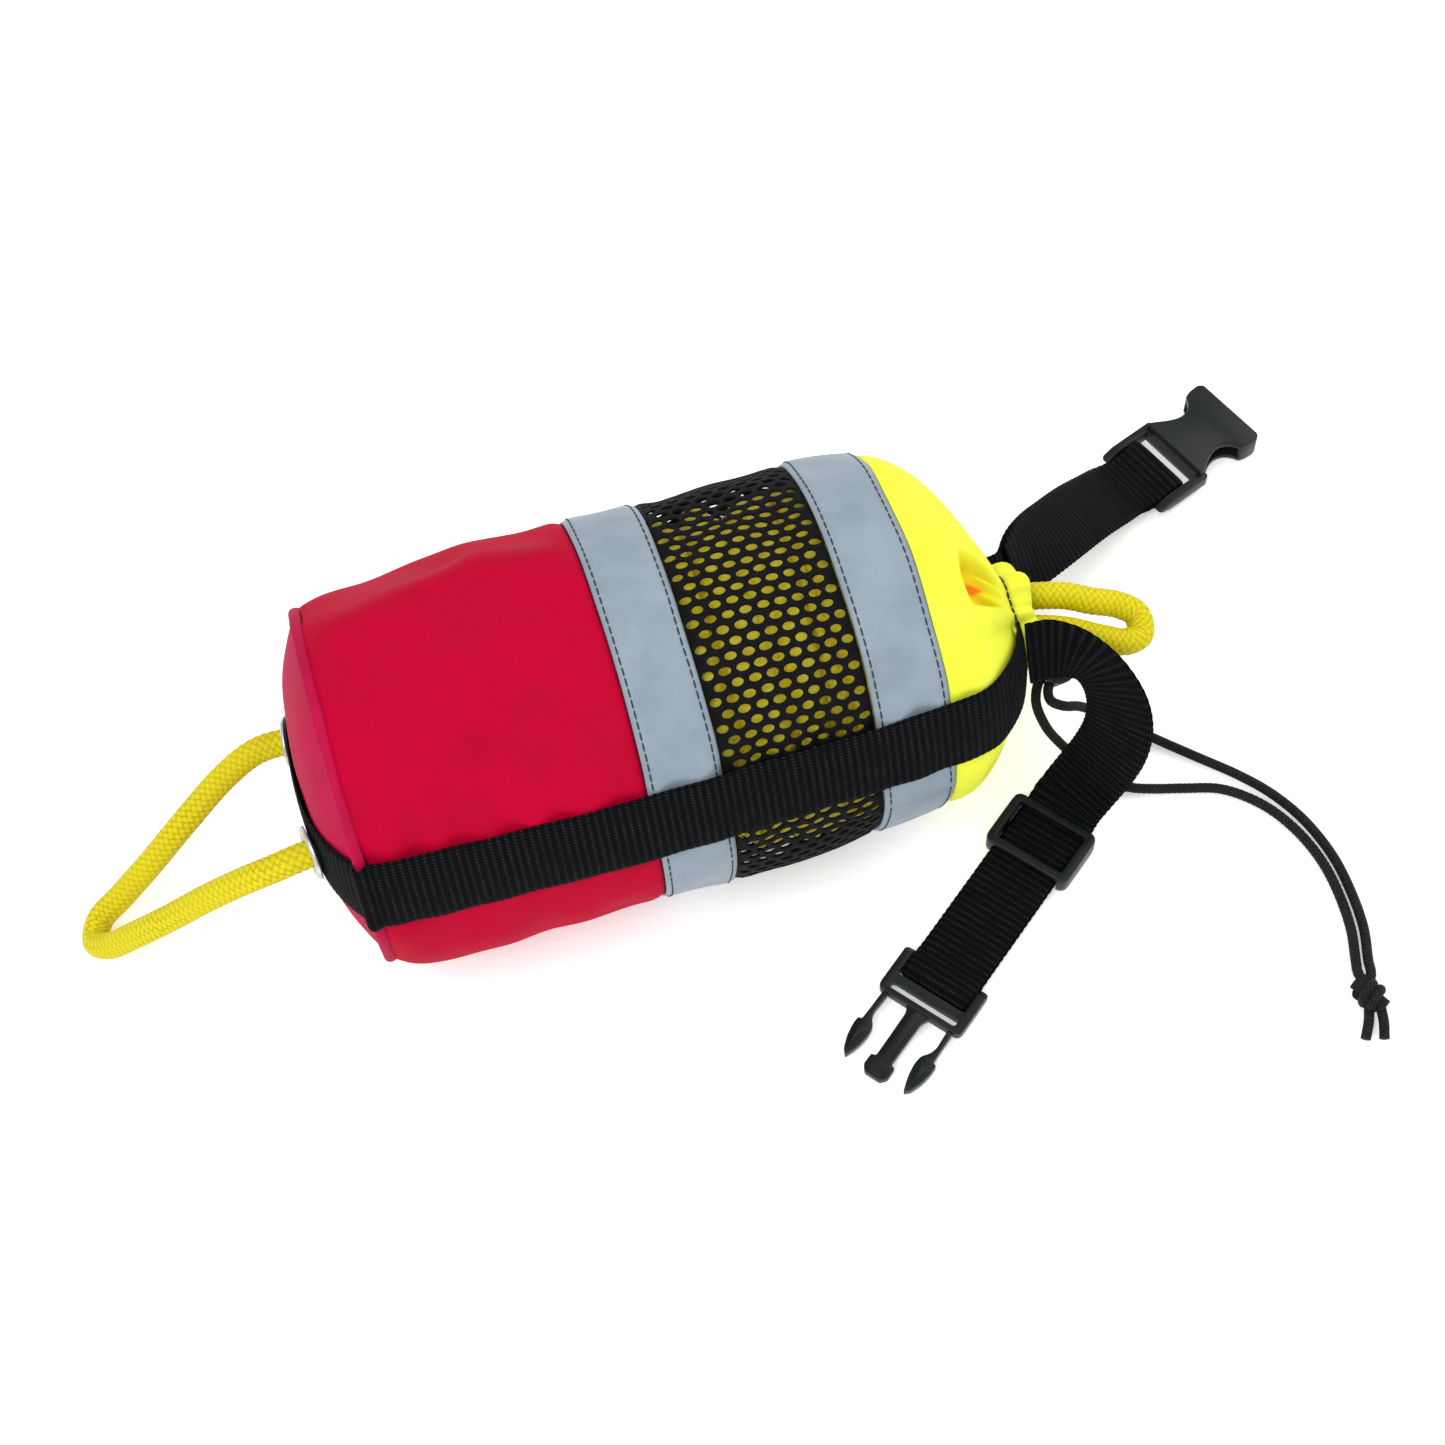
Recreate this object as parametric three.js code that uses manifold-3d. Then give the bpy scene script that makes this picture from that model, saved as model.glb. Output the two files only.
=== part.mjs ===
// Throw rope bag: a soft rescue bag lying on its side, with its rope, straps and side-release buckle.
// Frame: mm, +Z up, ground at Z = 0, bag axis along X at Z = AXIS_Z, throat at +X, base at -X.
import * as THREE from "three";
import Module from "manifold-3d";

const wasm = await Module();
wasm.setup();
const V = (x, y, z) => new THREE.Vector3(x, y, z);
const rad = THREE.MathUtils.degToRad;

// ---- driving dimensions -------------------------------------------------------------------------
const AXIS_Z = 62; // height of the bag's axis above the ground
const GAP = 0.35; // clearance between neighbouring pieces
const FABRIC_T = 1.2; // coated pack cloth with its seam allowance
const WEB_W = 25.4; // 1 in webbing
const WEB_T = 1.6;
const LAYER = WEB_T + 0.35; // pitch of two layers of webbing lying on each other
const WEB_ROLL = 22; // degrees that the near-side webbing sits above the horizontal
const ROPE_D = 9.5; // 3/8 in floating rope
const CORD_D = 3.5; // drawcord
const TURNS = 48; // facets round the bag

// Outer skin of the bag: [x, radius] stations from the base rim to the throat.
const SKIN = [
  [-103.3, 60.4], [-96, 62], [-84, 63.2], [-60, 64.2], [-30, 65], [-12.6, 65.1],
  [-12.3, 65.1], [0, 64.9], [12.3, 64.5], [12.6, 64.5], [38, 64.3], [63.6, 63.7],
  [63.9, 63.7], [76, 62.6], [89, 60.8], [89.3, 60.7], [98, 57.8], [106, 52], [113, 44],
  [118, 36], [122, 27], [124.4, 21.5],
];
const CONE_X = 89.3; // where the throat cone starts
const THROAT_X = 124.4; // where it ends
const THROAT_Y = -8; // the gathered throat leans a little to the near side
const PLEATS = 9;
const PLEAT_DEPTH = 1.9;

// Base
const BASE_X = -118; // crown of the domed base
const BASE_R = 58.5;
const DOME = 13;
const ROPE_HOLE_S = 30; // distance of each rope hole from the centre of the base

// Throat hem (channel that holds the drawcord)
const HEM = { x0: 124.8, x1: 133, wall: 1.4, rIn: 11.6, rOut: 19.4 };

// Strap runs
const SLIDER_AT = V(121.7, -64.6, 0);
const STRAP_DIR = V(-0.788, -0.616, 0).normalize(); // from slider to male buckle
const MALE_S = 62; // slider centre to the rear of the male buckle
const MALE_Z = 4.45; // mid-height of the male buckle with the strap lying on the ground
const MALE_BAR_U = 4.3; // its webbing bar, forward of MALE_S
const FEMALE_AT = V(210.5, 68.3, 5.45);
const FEMALE_BAR_U = 8.3;
const FEMALE_DIR = V(Math.cos(rad(21)), Math.sin(rad(21)), 0);
const BAR_R = 1.7;
const LOOP_R = BAR_R + 0.6 + WEB_T / 2;

// ---- colours ------------------------------------------------------------------------------------
const LOOK = {
  red: [0xc4062f, 0.7, 0], grey: [0x8896a2, 0.45, 0.1], mesh: [0x15161a, 0.85, 0],
  fluoro: [0xe6f53a, 0.65, 0], webbing: [0x101215, 0.85, 0], rope: [0xe6cf05, 0.7, 0],
  foam: [0xd8d8d4, 0.9, 0], acetal: [0x22272a, 0.4, 0], cord: [0x14161a, 0.8, 0],
  brass: [0x9aa0a4, 0.35, 0.9], steel: [0xb4b8bc, 0.3, 1],
};
const part = new THREE.Group();
function add(name, geometry, look) {
  const [color, roughness, metalness] = LOOK[look];
  const mesh = new THREE.Mesh(geometry, new THREE.MeshStandardMaterial({ color, roughness, metalness }));
  mesh.name = name;
  part.add(mesh);
}

// ---- geometry helpers ---------------------------------------------------------------------------
function fromLists(points, faces) {
  const g = new THREE.BufferGeometry();
  g.setAttribute("position", new THREE.Float32BufferAttribute(points.flatMap((p) => [p.x, p.y, p.z]), 3));
  g.setIndex(faces.flat());
  return g;
}

// A closed sheet: outer[i][j] and inner[i][j] are matching grids; wrap joins the last column to the first.
function slab(outer, inner, wrap = false) {
  const rows = outer.length, cols = outer[0].length, points = [...outer.flat(), ...inner.flat()];
  const o = (i, j) => i * cols + (j % cols);
  const n = (i, j) => rows * cols + o(i, j);
  const faces = [];
  const quad = (a, b, c, d) => faces.push([a, b, c], [a, c, d]);
  const last = wrap ? cols : cols - 1;
  for (let i = 0; i < rows - 1; i++)
    for (let j = 0; j < last; j++) {
      quad(o(i, j), o(i, j + 1), o(i + 1, j + 1), o(i + 1, j));
      quad(n(i, j), n(i + 1, j), n(i + 1, j + 1), n(i, j + 1));
    }
  for (let j = 0; j < last; j++) {
    quad(o(0, j), n(0, j), n(0, j + 1), o(0, j + 1));
    quad(o(rows - 1, j), o(rows - 1, j + 1), n(rows - 1, j + 1), n(rows - 1, j));
  }
  if (!wrap)
    for (let i = 0; i < rows - 1; i++) {
      quad(o(i, 0), o(i + 1, 0), n(i + 1, 0), n(i, 0));
      quad(o(i, cols - 1), n(i, cols - 1), n(i + 1, cols - 1), o(i + 1, cols - 1));
    }
  return fromLists(points, faces);
}

// Solid of revolution about the X axis through (y, z); profile is a closed or pole-to-pole [x, r] list.
function turned(profile, y, z, facets = TURNS) {
  const g = new THREE.LatheGeometry(profile.map(([x, r]) => new THREE.Vector2(r, x)), facets);
  return g.rotateZ(-Math.PI / 2).translate(0, y, z);
}

// manifold-3d is used only to join and cut.
function solid(geometry) {
  const src = geometry.index ? geometry.toNonIndexed() : geometry;
  const pos = src.getAttribute("position");
  const key = new Map(), verts = [], tris = [];
  for (let i = 0; i < pos.count; i++) {
    const p = [pos.getX(i), pos.getY(i), pos.getZ(i)];
    const k = p.map((c) => Math.round(c * 1e4)).join();
    if (!key.has(k)) key.set(k, verts.push(p) - 1);
    tris.push(key.get(k));
  }
  const keep = [];
  for (let i = 0; i < tris.length; i += 3) {
    const [a, b, c] = tris.slice(i, i + 3);
    if (a !== b && b !== c && c !== a) keep.push(a, b, c);
  }
  const mesh = new wasm.Mesh({
    numProp: 3, vertProperties: new Float32Array(verts.flat()), triVerts: new Uint32Array(keep),
  });
  return new wasm.Manifold(mesh);
}
function geometryOf(made) {
  const m = made.getMesh();
  const g = new THREE.BufferGeometry();
  const out = new Float32Array(m.numVert * 3);
  for (let i = 0; i < m.numVert; i++)
    out.set(m.vertProperties.subarray(i * m.numProp, i * m.numProp + 3), i * 3);
  g.setAttribute("position", new THREE.BufferAttribute(out, 3));
  return g.setIndex(new THREE.BufferAttribute(m.triVerts, 1));
}
const join = (...gs) => geometryOf(gs.map(solid).reduce((a, b) => a.add(b)));
const cut = (g, ...tools) => geometryOf(tools.map(solid).reduce((a, b) => a.subtract(b), solid(g)));

// Round cord along a smooth path.
function cord(points, diameter, sides, steps) {
  const circle = new THREE.Shape();
  for (let k = 0; k < sides; k++) {
    const a = (2 * Math.PI * k) / sides;
    circle[k ? "lineTo" : "moveTo"]((Math.cos(a) * diameter) / 2, (Math.sin(a) * diameter) / 2);
  }
  const path = new THREE.CatmullRomCurve3(points, false, "centripetal");
  return new THREE.ExtrudeGeometry(circle, { steps, bevelEnabled: false, extrudePath: path });
}

// Flat strap swept through frames {p, w}: p is the centre, w the direction across the strap.
function withNormals(frames) {
  return frames.map((f, i) => {
    const a = frames[Math.max(i - 1, 0)].p, b = frames[Math.min(i + 1, frames.length - 1)].p;
    const t = b.clone().sub(a).normalize();
    const w = f.w.clone().addScaledVector(t, -f.w.dot(t)).normalize();
    return { p: f.p, w, n: t.clone().cross(w) };
  });
}
function strap(frames) {
  const row = (side) => frames.map(({ p, w, n }) =>
    [-0.5, 0.5].map((k) => p.clone().addScaledVector(w, k * WEB_W).addScaledVector(n, (side * WEB_T) / 2)));
  return slab(row(-1), row(1));
}
function smoothFrames(keys, per) {
  const c = new THREE.CatmullRomCurve3(keys.map((k) => k[0]), false, "centripetal");
  const w = new THREE.CatmullRomCurve3(keys.map((k) => k[1]), false, "centripetal");
  const n = (keys.length - 1) * per;
  return Array.from({ length: n + 1 }, (_, i) => ({ p: c.getPoint(i / n), w: w.getPoint(i / n) }));
}

// ---- the bag's skin -----------------------------------------------------------------------------
function skinRadius(x) {
  const k = Math.max(SKIN.findIndex((s) => s[0] >= x), 1);
  const [[x0, r0], [x1, r1]] = [SKIN[k - 1], SKIN[k]];
  return r0 + ((r1 - r0) * (x - x0)) / (x1 - x0);
}
const coneShare = (x) => THREE.MathUtils.clamp((x - CONE_X) / (THROAT_X - CONE_X), 0, 1);
const centreY = (x) => THROAT_Y * coneShare(x);
const pleat = (x) => PLEAT_DEPTH * coneShare(x);

// Point of the skin at angle a (0 = near side, 90 = up), pushed out by d and never below the floor.
function skinPoint(x, a, d, floor, wave = 0) {
  const r = skinRadius(x) + d + wave * Math.cos(PLEATS * (a - rad(WEB_ROLL)));
  return V(x, centreY(x) - r * Math.cos(a), Math.max(AXIS_Z + r * Math.sin(a), floor));
}
function tube(x0, x1, thickness, pushed = 0, facets = TURNS, pleated = false) {
  const xs = [x0, ...SKIN.map((s) => s[0]).filter((x) => x > x0 + 0.05 && x < x1 - 0.05), x1];
  const grid = (d, floor) => xs.map((x) => Array.from({ length: facets }, (_, j) =>
    skinPoint(x, -(2 * Math.PI * j) / facets, d, floor, pleated ? pleat(x) : 0)));
  return slab(grid(pushed, Math.max(0, -pushed)), grid(pushed - thickness, thickness - pushed), true);
}
const domeX = (r) => BASE_X + DOME * (r / BASE_R) ** 3;

// ---- body of the bag ----------------------------------------------------------------------------
const rollY = Math.cos(rad(WEB_ROLL)), rollZ = Math.sin(rad(WEB_ROLL));
const onBase = (s, q, x) => V(x, -s * rollY - q * rollZ, AXIS_Z + s * rollZ - q * rollY);

// The two rope holes follow the slope of the domed base.
const holeTilt = Math.atan((3 * DOME * ROPE_HOLE_S ** 2) / BASE_R ** 3);
function alongHole(geometryAlongX, side) {
  const g = geometryAlongX.clone().rotateZ(side * holeTilt);
  g.translate(domeX(ROPE_HOLE_S), -side * ROPE_HOLE_S, 0).rotateX(-rad(WEB_ROLL));
  return g.translate(0, 0, AXIS_Z);
}
const drill = (r, side) => alongHole(turned([[-12, 0], [-12, r], [22, r], [22, 0]], 0, 0, 20), side);
const drills = (r) => [drill(r, 1), drill(r, -1)];

function domeDisc(x0, thickness, radius) {
  const rs = [0, 12, 24, 36, 46, 53, radius];
  const front = rs.map((r) => [domeX(r) + x0, r]);
  const back = rs.map((r) => [domeX(r) + x0 + thickness, r]).reverse();
  return turned([...front, ...back], 0, AXIS_Z);
}
function basePanel() {
  return cut(domeDisc(0, FABRIC_T, BASE_R), ...drills(6.4));
}
function baseFoam() {
  const rs = [0, 12, 24, 36, 46, 52];
  const front = rs.map((r) => [domeX(r) + FABRIC_T + GAP, r]);
  return cut(turned([...front, [-101.5, 52], [-101.5, 0]], 0, AXIS_Z), ...drills(6.4));
}
function seamBinding() {
  const ring = [[-106.1, 59], [-106.1, 60.2], [-105.4, 60.9], [-104.3, 60.9], [-103.65, 60.2], [-103.65, 59]];
  return turned([...ring, ring[0]], 0, AXIS_Z);
}
function stuffedRope() {
  const wavy = (x, r) => [x, r + 1.1 * Math.sin(x * 0.62)];
  const side = [-68, -58, -48, -38, -28, -16].map((x) => wavy(x, 53));
  const wide = [-6, 4, 14, 24, 34, 44, 54, 66, 80].map((x) => wavy(x, 58));
  return turned([[-76, 0], [-76, 38], [-74, 48], ...side, ...wide, [90, 53], [100, 42], [106, 28], [109, 0]],
    0, AXIS_Z, 28);
}
function grommet(side) {
  const ring = [[-3.4, 5.15], [-3.4, 9.3], [-2.5, 9.3], [-2.5, 6.05], [2.6, 6.05], [2.6, 5.15], [-3.4, 5.15]];
  return alongHole(turned(ring, 0, 0, 24), side);
}

// One length of webbing sewn from the throat down the near side, across the base and up the far side.
function sideWebbing() {
  const across = [-12.7, -6.35, 0, 6.35, 12.7];
  const grid = (d) => {
    const side = (sign) => [-103, ...SKIN.map((s) => s[0]).filter((x) => x > -103)].map((x) =>
      across.map((q) => {
        const r = Math.max(skinRadius(Math.max(x, -103.3)), x < -102 ? 60.9 : 0) + pleat(x) + d;
        const turn = Math.asin(q / Math.max(r, 13.5));
        const a = rad(WEB_ROLL) + (sign > 0 ? -turn : Math.PI + turn);
        return V(x, centreY(x) - r * Math.cos(a), AXIS_Z + r * Math.sin(a));
      }));
    const rim = (sign) => [across.map((q) => onBase(sign * (60.75 + d * 0.7), q, -106.5 - d * 0.7))];
    const base = [56, 48, 40, 30, 20, 10, 0, -10, -20, -30, -40, -48, -56].map((s) =>
      across.map((q) => onBase(s, q, domeX(Math.hypot(s, q)) - d)));
    return [...side(1).reverse(), ...rim(1), ...base, ...rim(-1), ...side(-1)];
  };
  return cut(slab(grid(GAP), grid(GAP + WEB_T)), ...drills(6.4));
}

// ---- throat -------------------------------------------------------------------------------------
function throatHem() {
  const { x0, x1, wall, rIn, rOut } = HEM;
  const u = [[x0, rIn], [x0, rOut], [x1, rOut], [x1, rOut - wall], [x0 + wall, rOut - wall],
    [x0 + wall, rIn + wall], [x1, rIn + wall], [x1, rIn], [x0, rIn]];
  return turned(u, THROAT_Y, AXIS_Z, 36);
}
const collarR = (HEM.rIn + HEM.rOut) / 2;
const onCollar = (degrees, x) =>
  V(x, THROAT_Y - collarR * Math.cos(rad(degrees)), AXIS_Z + collarR * Math.sin(rad(degrees)));
const COLLAR_X = HEM.x0 + HEM.wall + CORD_D / 2 + 0.5;

// ---- cords --------------------------------------------------------------------------------------
const BASE_LOOP = [
  [-91.6, -13.2, 67.3], [-94.4, -20, 70.1], [-98.5, -24.3, 71.9], [-103.5, -25.9, 72.5],
  [-110, -26.9, 72.9], [-116.2, -27.8, 73.2], [-124, -28.9, 73.4], [-132, -28.6, 70.6], [-144, -26, 63],
  [-157, -22.8, 53], [-172, -18.6, 39], [-187, -13.2, 24], [-197.5, -8.2, 12.5],
  [-202.5, -1.6, 6.6], [-199.5, 5.2, 7.8], [-190, 8.4, 14], [-176, 12, 25], [-160, 18.2, 36],
  [-144, 25.2, 44.6], [-132, 28.6, 49.4], [-124, 28.9, 50.6], [-116.2, 27.8, 50.8], [-110, 26.9, 51.1],
  [-103.5, 25.9, 51.5], [-98.5, 24.3, 52.1], [-94.4, 20, 53.9], [-91.6, 13.2, 56.7],
];
const THROAT_LOOP = [
  [110.5, -14.4, 60.5], [118, -14.2, 61.5], [130.3, -13.6, 62.4], [143.2, -17.6, 62], [155, -22.6, 58.6],
  [163.5, -25, 55.6], [169.6, -23, 54.6], [170.4, -16.8, 57.4], [164.5, -12.8, 60.6], [156, -10.4, 63.4],
  [146.7, -6.4, 65.4], [130.4, -2.6, 65.8], [118, -2.6, 64.6], [110.5, -2.8, 63],
];
const toPoints = (list) => list.map(([x, y, z]) => V(x, y, z));

// Cord lock: barrel along LOCK_AXIS (button end at +), both strands crossing it along LOCK_CORD.
const LOCK_AT = V(140.6, -20.5, 43.2);
const LOCK_AXIS = V(0.1, 0.45, -0.887).normalize();
const LOCK_CORD = V(-0.775, -0.517, -0.362);
LOCK_CORD.addScaledVector(LOCK_AXIS, -LOCK_CORD.dot(LOCK_AXIS)).normalize();
const LOCK_SIDE = LOCK_AXIS.clone().cross(LOCK_CORD);
const STRAND_OFFSET = CORD_D / 2 + 0.2;
const lockPoint = (side, along) =>
  LOCK_AT.clone().addScaledVector(LOCK_SIDE, side * STRAND_OFFSET).addScaledVector(LOCK_CORD, along);

const STRANDS = {
  a: { exit: -84, side: -1,
    into: [[138, -5.4, 46], [146, -3.8, 45.4], [152.4, -8.6, 46.2], [151.6, -14.4, 47.2]],
    free: [[135.9, -29.4, 37.8], [140, -31.6, 35.4], [147, -30.4, 29.4], [158, -30.4, 17], [168.6, -32.8, 6],
      [177, -38.5, 2.2], [187, -48.5, 2], [198.5, -60.2, 2], [206.5, -70.5, 2], [213, -83.5, 2],
      [216.8, -99, 2], [217.3, -113, 2], [215.8, -128, 2], [211.6, -141, 3.4], [210.4, -145.3, 4.4]] },
  b: { exit: -52, side: 1, into: [[138, -12.4, 50.2], [143.2, -9.8, 50.2], [147.8, -11, 49]],
    free: [[131.4, -27.4, 36.4], [133.4, -32.6, 27.6], [138, -35.6, 18.4], [144.4, -40, 10], [152, -47.4, 3.6],
      [160, -52.8, 2], [168, -56, 2], [178, -59, 2], [190.5, -63.4, 2], [201.6, -73.4, 2], [208.6, -85.8, 2],
      [212.4, -99.8, 2], [213, -112.6, 2], [211.5, -127.2, 2], [207.6, -139.6, 3.4], [206.2, -144.3, 4.4]] },
};
function strand({ exit, side, into, free }) {
  const path = [onCollar(exit, HEM.x0 + HEM.wall + 2.4), onCollar(exit, HEM.x1 + 0.8), ...toPoints(into),
    lockPoint(side, -7.5), lockPoint(side, 0), lockPoint(side, 7), ...toPoints(free)];
  return cord(path, CORD_D, 8, 64);
}
function collar() {
  const from = STRANDS.b.exit + 10, to = STRANDS.a.exit - 10 + 360;
  const path = Array.from({ length: 25 }, (_, k) => onCollar(from + ((to - from) * k) / 24, COLLAR_X));
  return cord(path, CORD_D, 8, 40);
}
function cordKnot() {
  const body = new THREE.SphereGeometry(1, 12, 8).scale(6.2, 8, 5.3)
    .rotateZ(rad(-28)).translate(206.6, -153.4, 5.6);
  const tail = (x0, y0, x1, y1) => cord([V(x0, y0, 3.6), V((x0 + x1) / 2, (y0 + y1) / 2, 3), V(x1, y1, 2.4)],
    CORD_D, 8, 4);
  return join(body, tail(205, -156, 199.6, -166.2), tail(208.6, -157, 205.6, -168));
}
function stopperKnot() {
  const body = new THREE.SphereGeometry(1, 16, 10).scale(8, 12.6, 11);
  return body.rotateX(-rad(WEB_ROLL)).translate(-90, 0, AXIS_Z);
}

// ---- cord lock ----------------------------------------------------------------------------------
const PLUNGER_TRAVEL = 3;
const LOCK = { floor: -10.6, wall: 1.3, rim: 8, rOut: 6.2, rIn: 4.9, pin: 4.6, tip: 12.4, back: -3.3 };
const HOLE_X = CORD_D / 2 + 0.35; // half the hole along the barrel
const HOLE_Z = STRAND_OFFSET + CORD_D / 2 + 0.3; // half the hole across two strands
function lockFrame(geometry) {
  const frame = new THREE.Matrix4().makeBasis(LOCK_AXIS, LOCK_CORD, LOCK_SIDE);
  return geometry.applyMatrix4(frame.setPosition(LOCK_AT));
}
const box = (x0, x1, y0, y1, z0, z1) =>
  new THREE.BoxGeometry(x1 - x0, y1 - y0, z1 - z0).translate((x0 + x1) / 2, (y0 + y1) / 2, (z0 + z1) / 2);
function lockBody() {
  const { floor, wall, rim, rOut, rIn } = LOCK;
  const cup = [[floor, 0], [floor, rOut - 0.8], [floor + 0.8, rOut], [rim, rOut], [rim, rIn],
    [floor + wall, rIn], [floor + wall, 0]];
  return lockFrame(cut(turned(cup, 0, 0, 24), box(-HOLE_X, HOLE_X, -8, 8, -HOLE_Z, HOLE_Z)));
}
function lockPlunger() {
  const { back, pin, tip } = LOCK;
  const body = [[back, 0], [back, pin], [tip - 1.2, pin], [tip, pin - 1.2], [tip, 0]];
  const window = box(-HOLE_X, HOLE_X + PLUNGER_TRAVEL, -6, 6, -HOLE_Z, HOLE_Z);
  return lockFrame(cut(turned(body, 0, 0, 24), window));
}
function lockSpring() {
  const from = LOCK.floor + LOCK.wall + 0.75, to = LOCK.back - 0.75, turns = 2.5, r = 3.3;
  const path = Array.from({ length: 31 }, (_, k) => {
    const a = (2 * Math.PI * turns * k) / 30;
    return V(from + ((to - from) * k) / 30, r * Math.cos(a), r * Math.sin(a));
  });
  return lockFrame(cord(path, 0.8, 6, 40));
}

// ---- straps -------------------------------------------------------------------------------------
const STRAP_WIDE = V(0.616, -0.788, 0).normalize();
const strapLine = (s, z) => SLIDER_AT.clone().addScaledVector(STRAP_DIR, s).setZ(z);
const nearHem = HEM.rOut + GAP + WEB_T / 2;
const MALE_ARCH = [
  [V(126, THROAT_Y - nearHem * rollY, AXIS_Z + nearHem * rollZ), V(0, 0.375, 0.927)],
  [V(133.6, -27.8, 70), V(0.02, 0.35, 0.93)],
  [V(140, -31.6, 70.4), V(0.1, 0.2, 0.96)],
  [V(146.6, -37.6, 67.6), V(0.25, -0.12, 0.94)],
  [V(151, -43.6, 60.6), V(0.46, -0.42, 0.76)],
  [V(152.8, -48, 50.4), V(0.6, -0.64, 0.46)],
  [V(151.6, -50.6, 38.4), V(0.62, -0.74, 0.24)],
  [V(148.2, -51.2, 26.6), V(0.616, -0.78, 0.1)],
  [V(143.6, -51, 15), V(0.616, -0.788, 0.02)],
  [V(137, -53, 6.4), V(0.616, -0.788, 0)],
  [strapLine(-13, 3), V(0.616, -0.788, 0)],
  [strapLine(-6, 2.95), V(0.616, -0.788, 0)],
  [strapLine(4, 2.95), V(0.616, -0.788, 0)],
];
const FIRST_LAYER_Z = 2.95;
const TAIL_FRAMES = 13; // frames of the arch that the cut tail lies over

// Bend of a strap round a buckle bar, in the plane of dir and +Z.
function loopFrames(centre, dir, wide, under, over) {
  const frames = [];
  for (let k = 0; k <= 10; k++) {
    const a = -Math.PI / 2 + (Math.PI * k) / 10;
    const p = centre.clone().addScaledVector(dir, LOOP_R * Math.cos(a));
    frames.push({ p: p.setZ(centre.z + LOOP_R * Math.sin(a)), w: wide });
  }
  return [...under, ...frames, ...over];
}
function maleStrap() {
  const arch = smoothFrames(MALE_ARCH, 4);
  const z0 = FIRST_LAYER_Z, z1 = FIRST_LAYER_Z + LAYER;
  const bar = MALE_S + MALE_BAR_U;
  const centre = strapLine(bar, MALE_Z);
  const run = (list) => list.map(([s, z]) => ({ p: strapLine(s, z), w: STRAP_WIDE }));
  const under = run([[20, z0], [36, z0], [48, z0], [54, z0], [bar - 8, z0 - 0.35], [bar - 4.6, z0 - 1.1],
    [bar - 2, z0 - 1.52]]);
  const over = run([[bar - 2, z1 + 2.45], [bar - 4.6, z1 + 1.8], [bar - 8, z1 + 0.6], [bar - 12, z1 + 0.08],
    [bar - 16, z1], [36, z1], [20, z1]]);
  const way = loopFrames(centre, STRAP_DIR, STRAP_WIDE, under, over);
  const lower = withNormals(arch);
  const tail = lower.slice(-TAIL_FRAMES).reverse()
    .map(({ p, w, n }) => ({ p: p.clone().addScaledVector(n, LAYER), w }));
  return strap(withNormals([...arch, ...way, ...tail]));
}

const FEMALE_WIDE = V(FEMALE_DIR.y, -FEMALE_DIR.x, 0);
const femaleLine = (s, z) => FEMALE_AT.clone().addScaledVector(FEMALE_DIR, s).setZ(z);
const FEMALE_ARCH = [
  [V(126.2, THROAT_Y + nearHem * rollY, AXIS_Z - nearHem * rollZ), V(0, -0.375, -0.927)],
  [V(132, 12, 54.1), V(0.02, -0.4, -0.91)],
  [V(139, 18.4, 52.6), V(0.1, -0.58, -0.8)],
  [V(150, 26.6, 46.6), V(0.22, -0.78, -0.58)],
  [V(163, 36.4, 37.6), V(0.3, -0.88, -0.34)],
  [V(178, 48, 26), V(0.35, -0.92, -0.14)],
  [V(191, 57.6, 15), V(0.358, -0.934, -0.04)],
  [femaleLine(-12, 7.4), V(0.358, -0.934, 0)],
  [femaleLine(-6.5, 5), V(0.358, -0.934, 0)],
];
const femaleDoubled = 27; // frames, counted from the buckle, that carry the second layer
function femaleStrap() {
  const arch = smoothFrames(FEMALE_ARCH, 4);
  const run = (list) => list.map(([s, z]) => ({ p: femaleLine(s, z), w: FEMALE_WIDE }));
  const bar = FEMALE_BAR_U;
  const under = run([[-2.4, 4], [1.5, 3.35], [4.4, 2.75], [bar - 2, 2.4]]);
  const over = run([[bar - 2, 8.4], [4.4, 7.75], [1.5, 7], [-2.4, 6.5]]);
  const way = loopFrames(femaleLine(bar, FEMALE_AT.z), FEMALE_DIR, FEMALE_WIDE, under, over);
  const back = withNormals(arch).slice(-femaleDoubled, -2).reverse()
    .map(({ p, w, n }) => ({ p: p.clone().addScaledVector(n, -LAYER), w }));
  return strap(withNormals([...arch, ...way, ...back]));
}

// ---- plastic fittings ---------------------------------------------------------------------------
// Local frame of a fitting: u along dir, v across (wide), w up.
function placed(geometry, origin, dir, wide) {
  const up = dir.clone().cross(wide);
  return geometry.applyMatrix4(new THREE.Matrix4().makeBasis(dir, wide, up).setPosition(origin));
}
function plate(outline, w0, w1) {
  const shape = new THREE.Shape(outline.map(([u, v]) => new THREE.Vector2(u, v)));
  return new THREE.ExtrudeGeometry(shape, { depth: w1 - w0, bevelEnabled: false }).translate(0, 0, w0);
}
function chamfered(u0, u1, v0, v1, c) {
  return [[u0 + c, v0], [u1 - c, v0], [u1, v0 + c], [u1, v1 - c], [u1 - c, v1], [u0 + c, v1], [u0, v1 - c],
    [u0, v0 + c]];
}
const rod = (u, v0, v1, w, r) =>
  new THREE.CylinderGeometry(r, r, v1 - v0, 16).translate(u, (v0 + v1) / 2, w);

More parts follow.
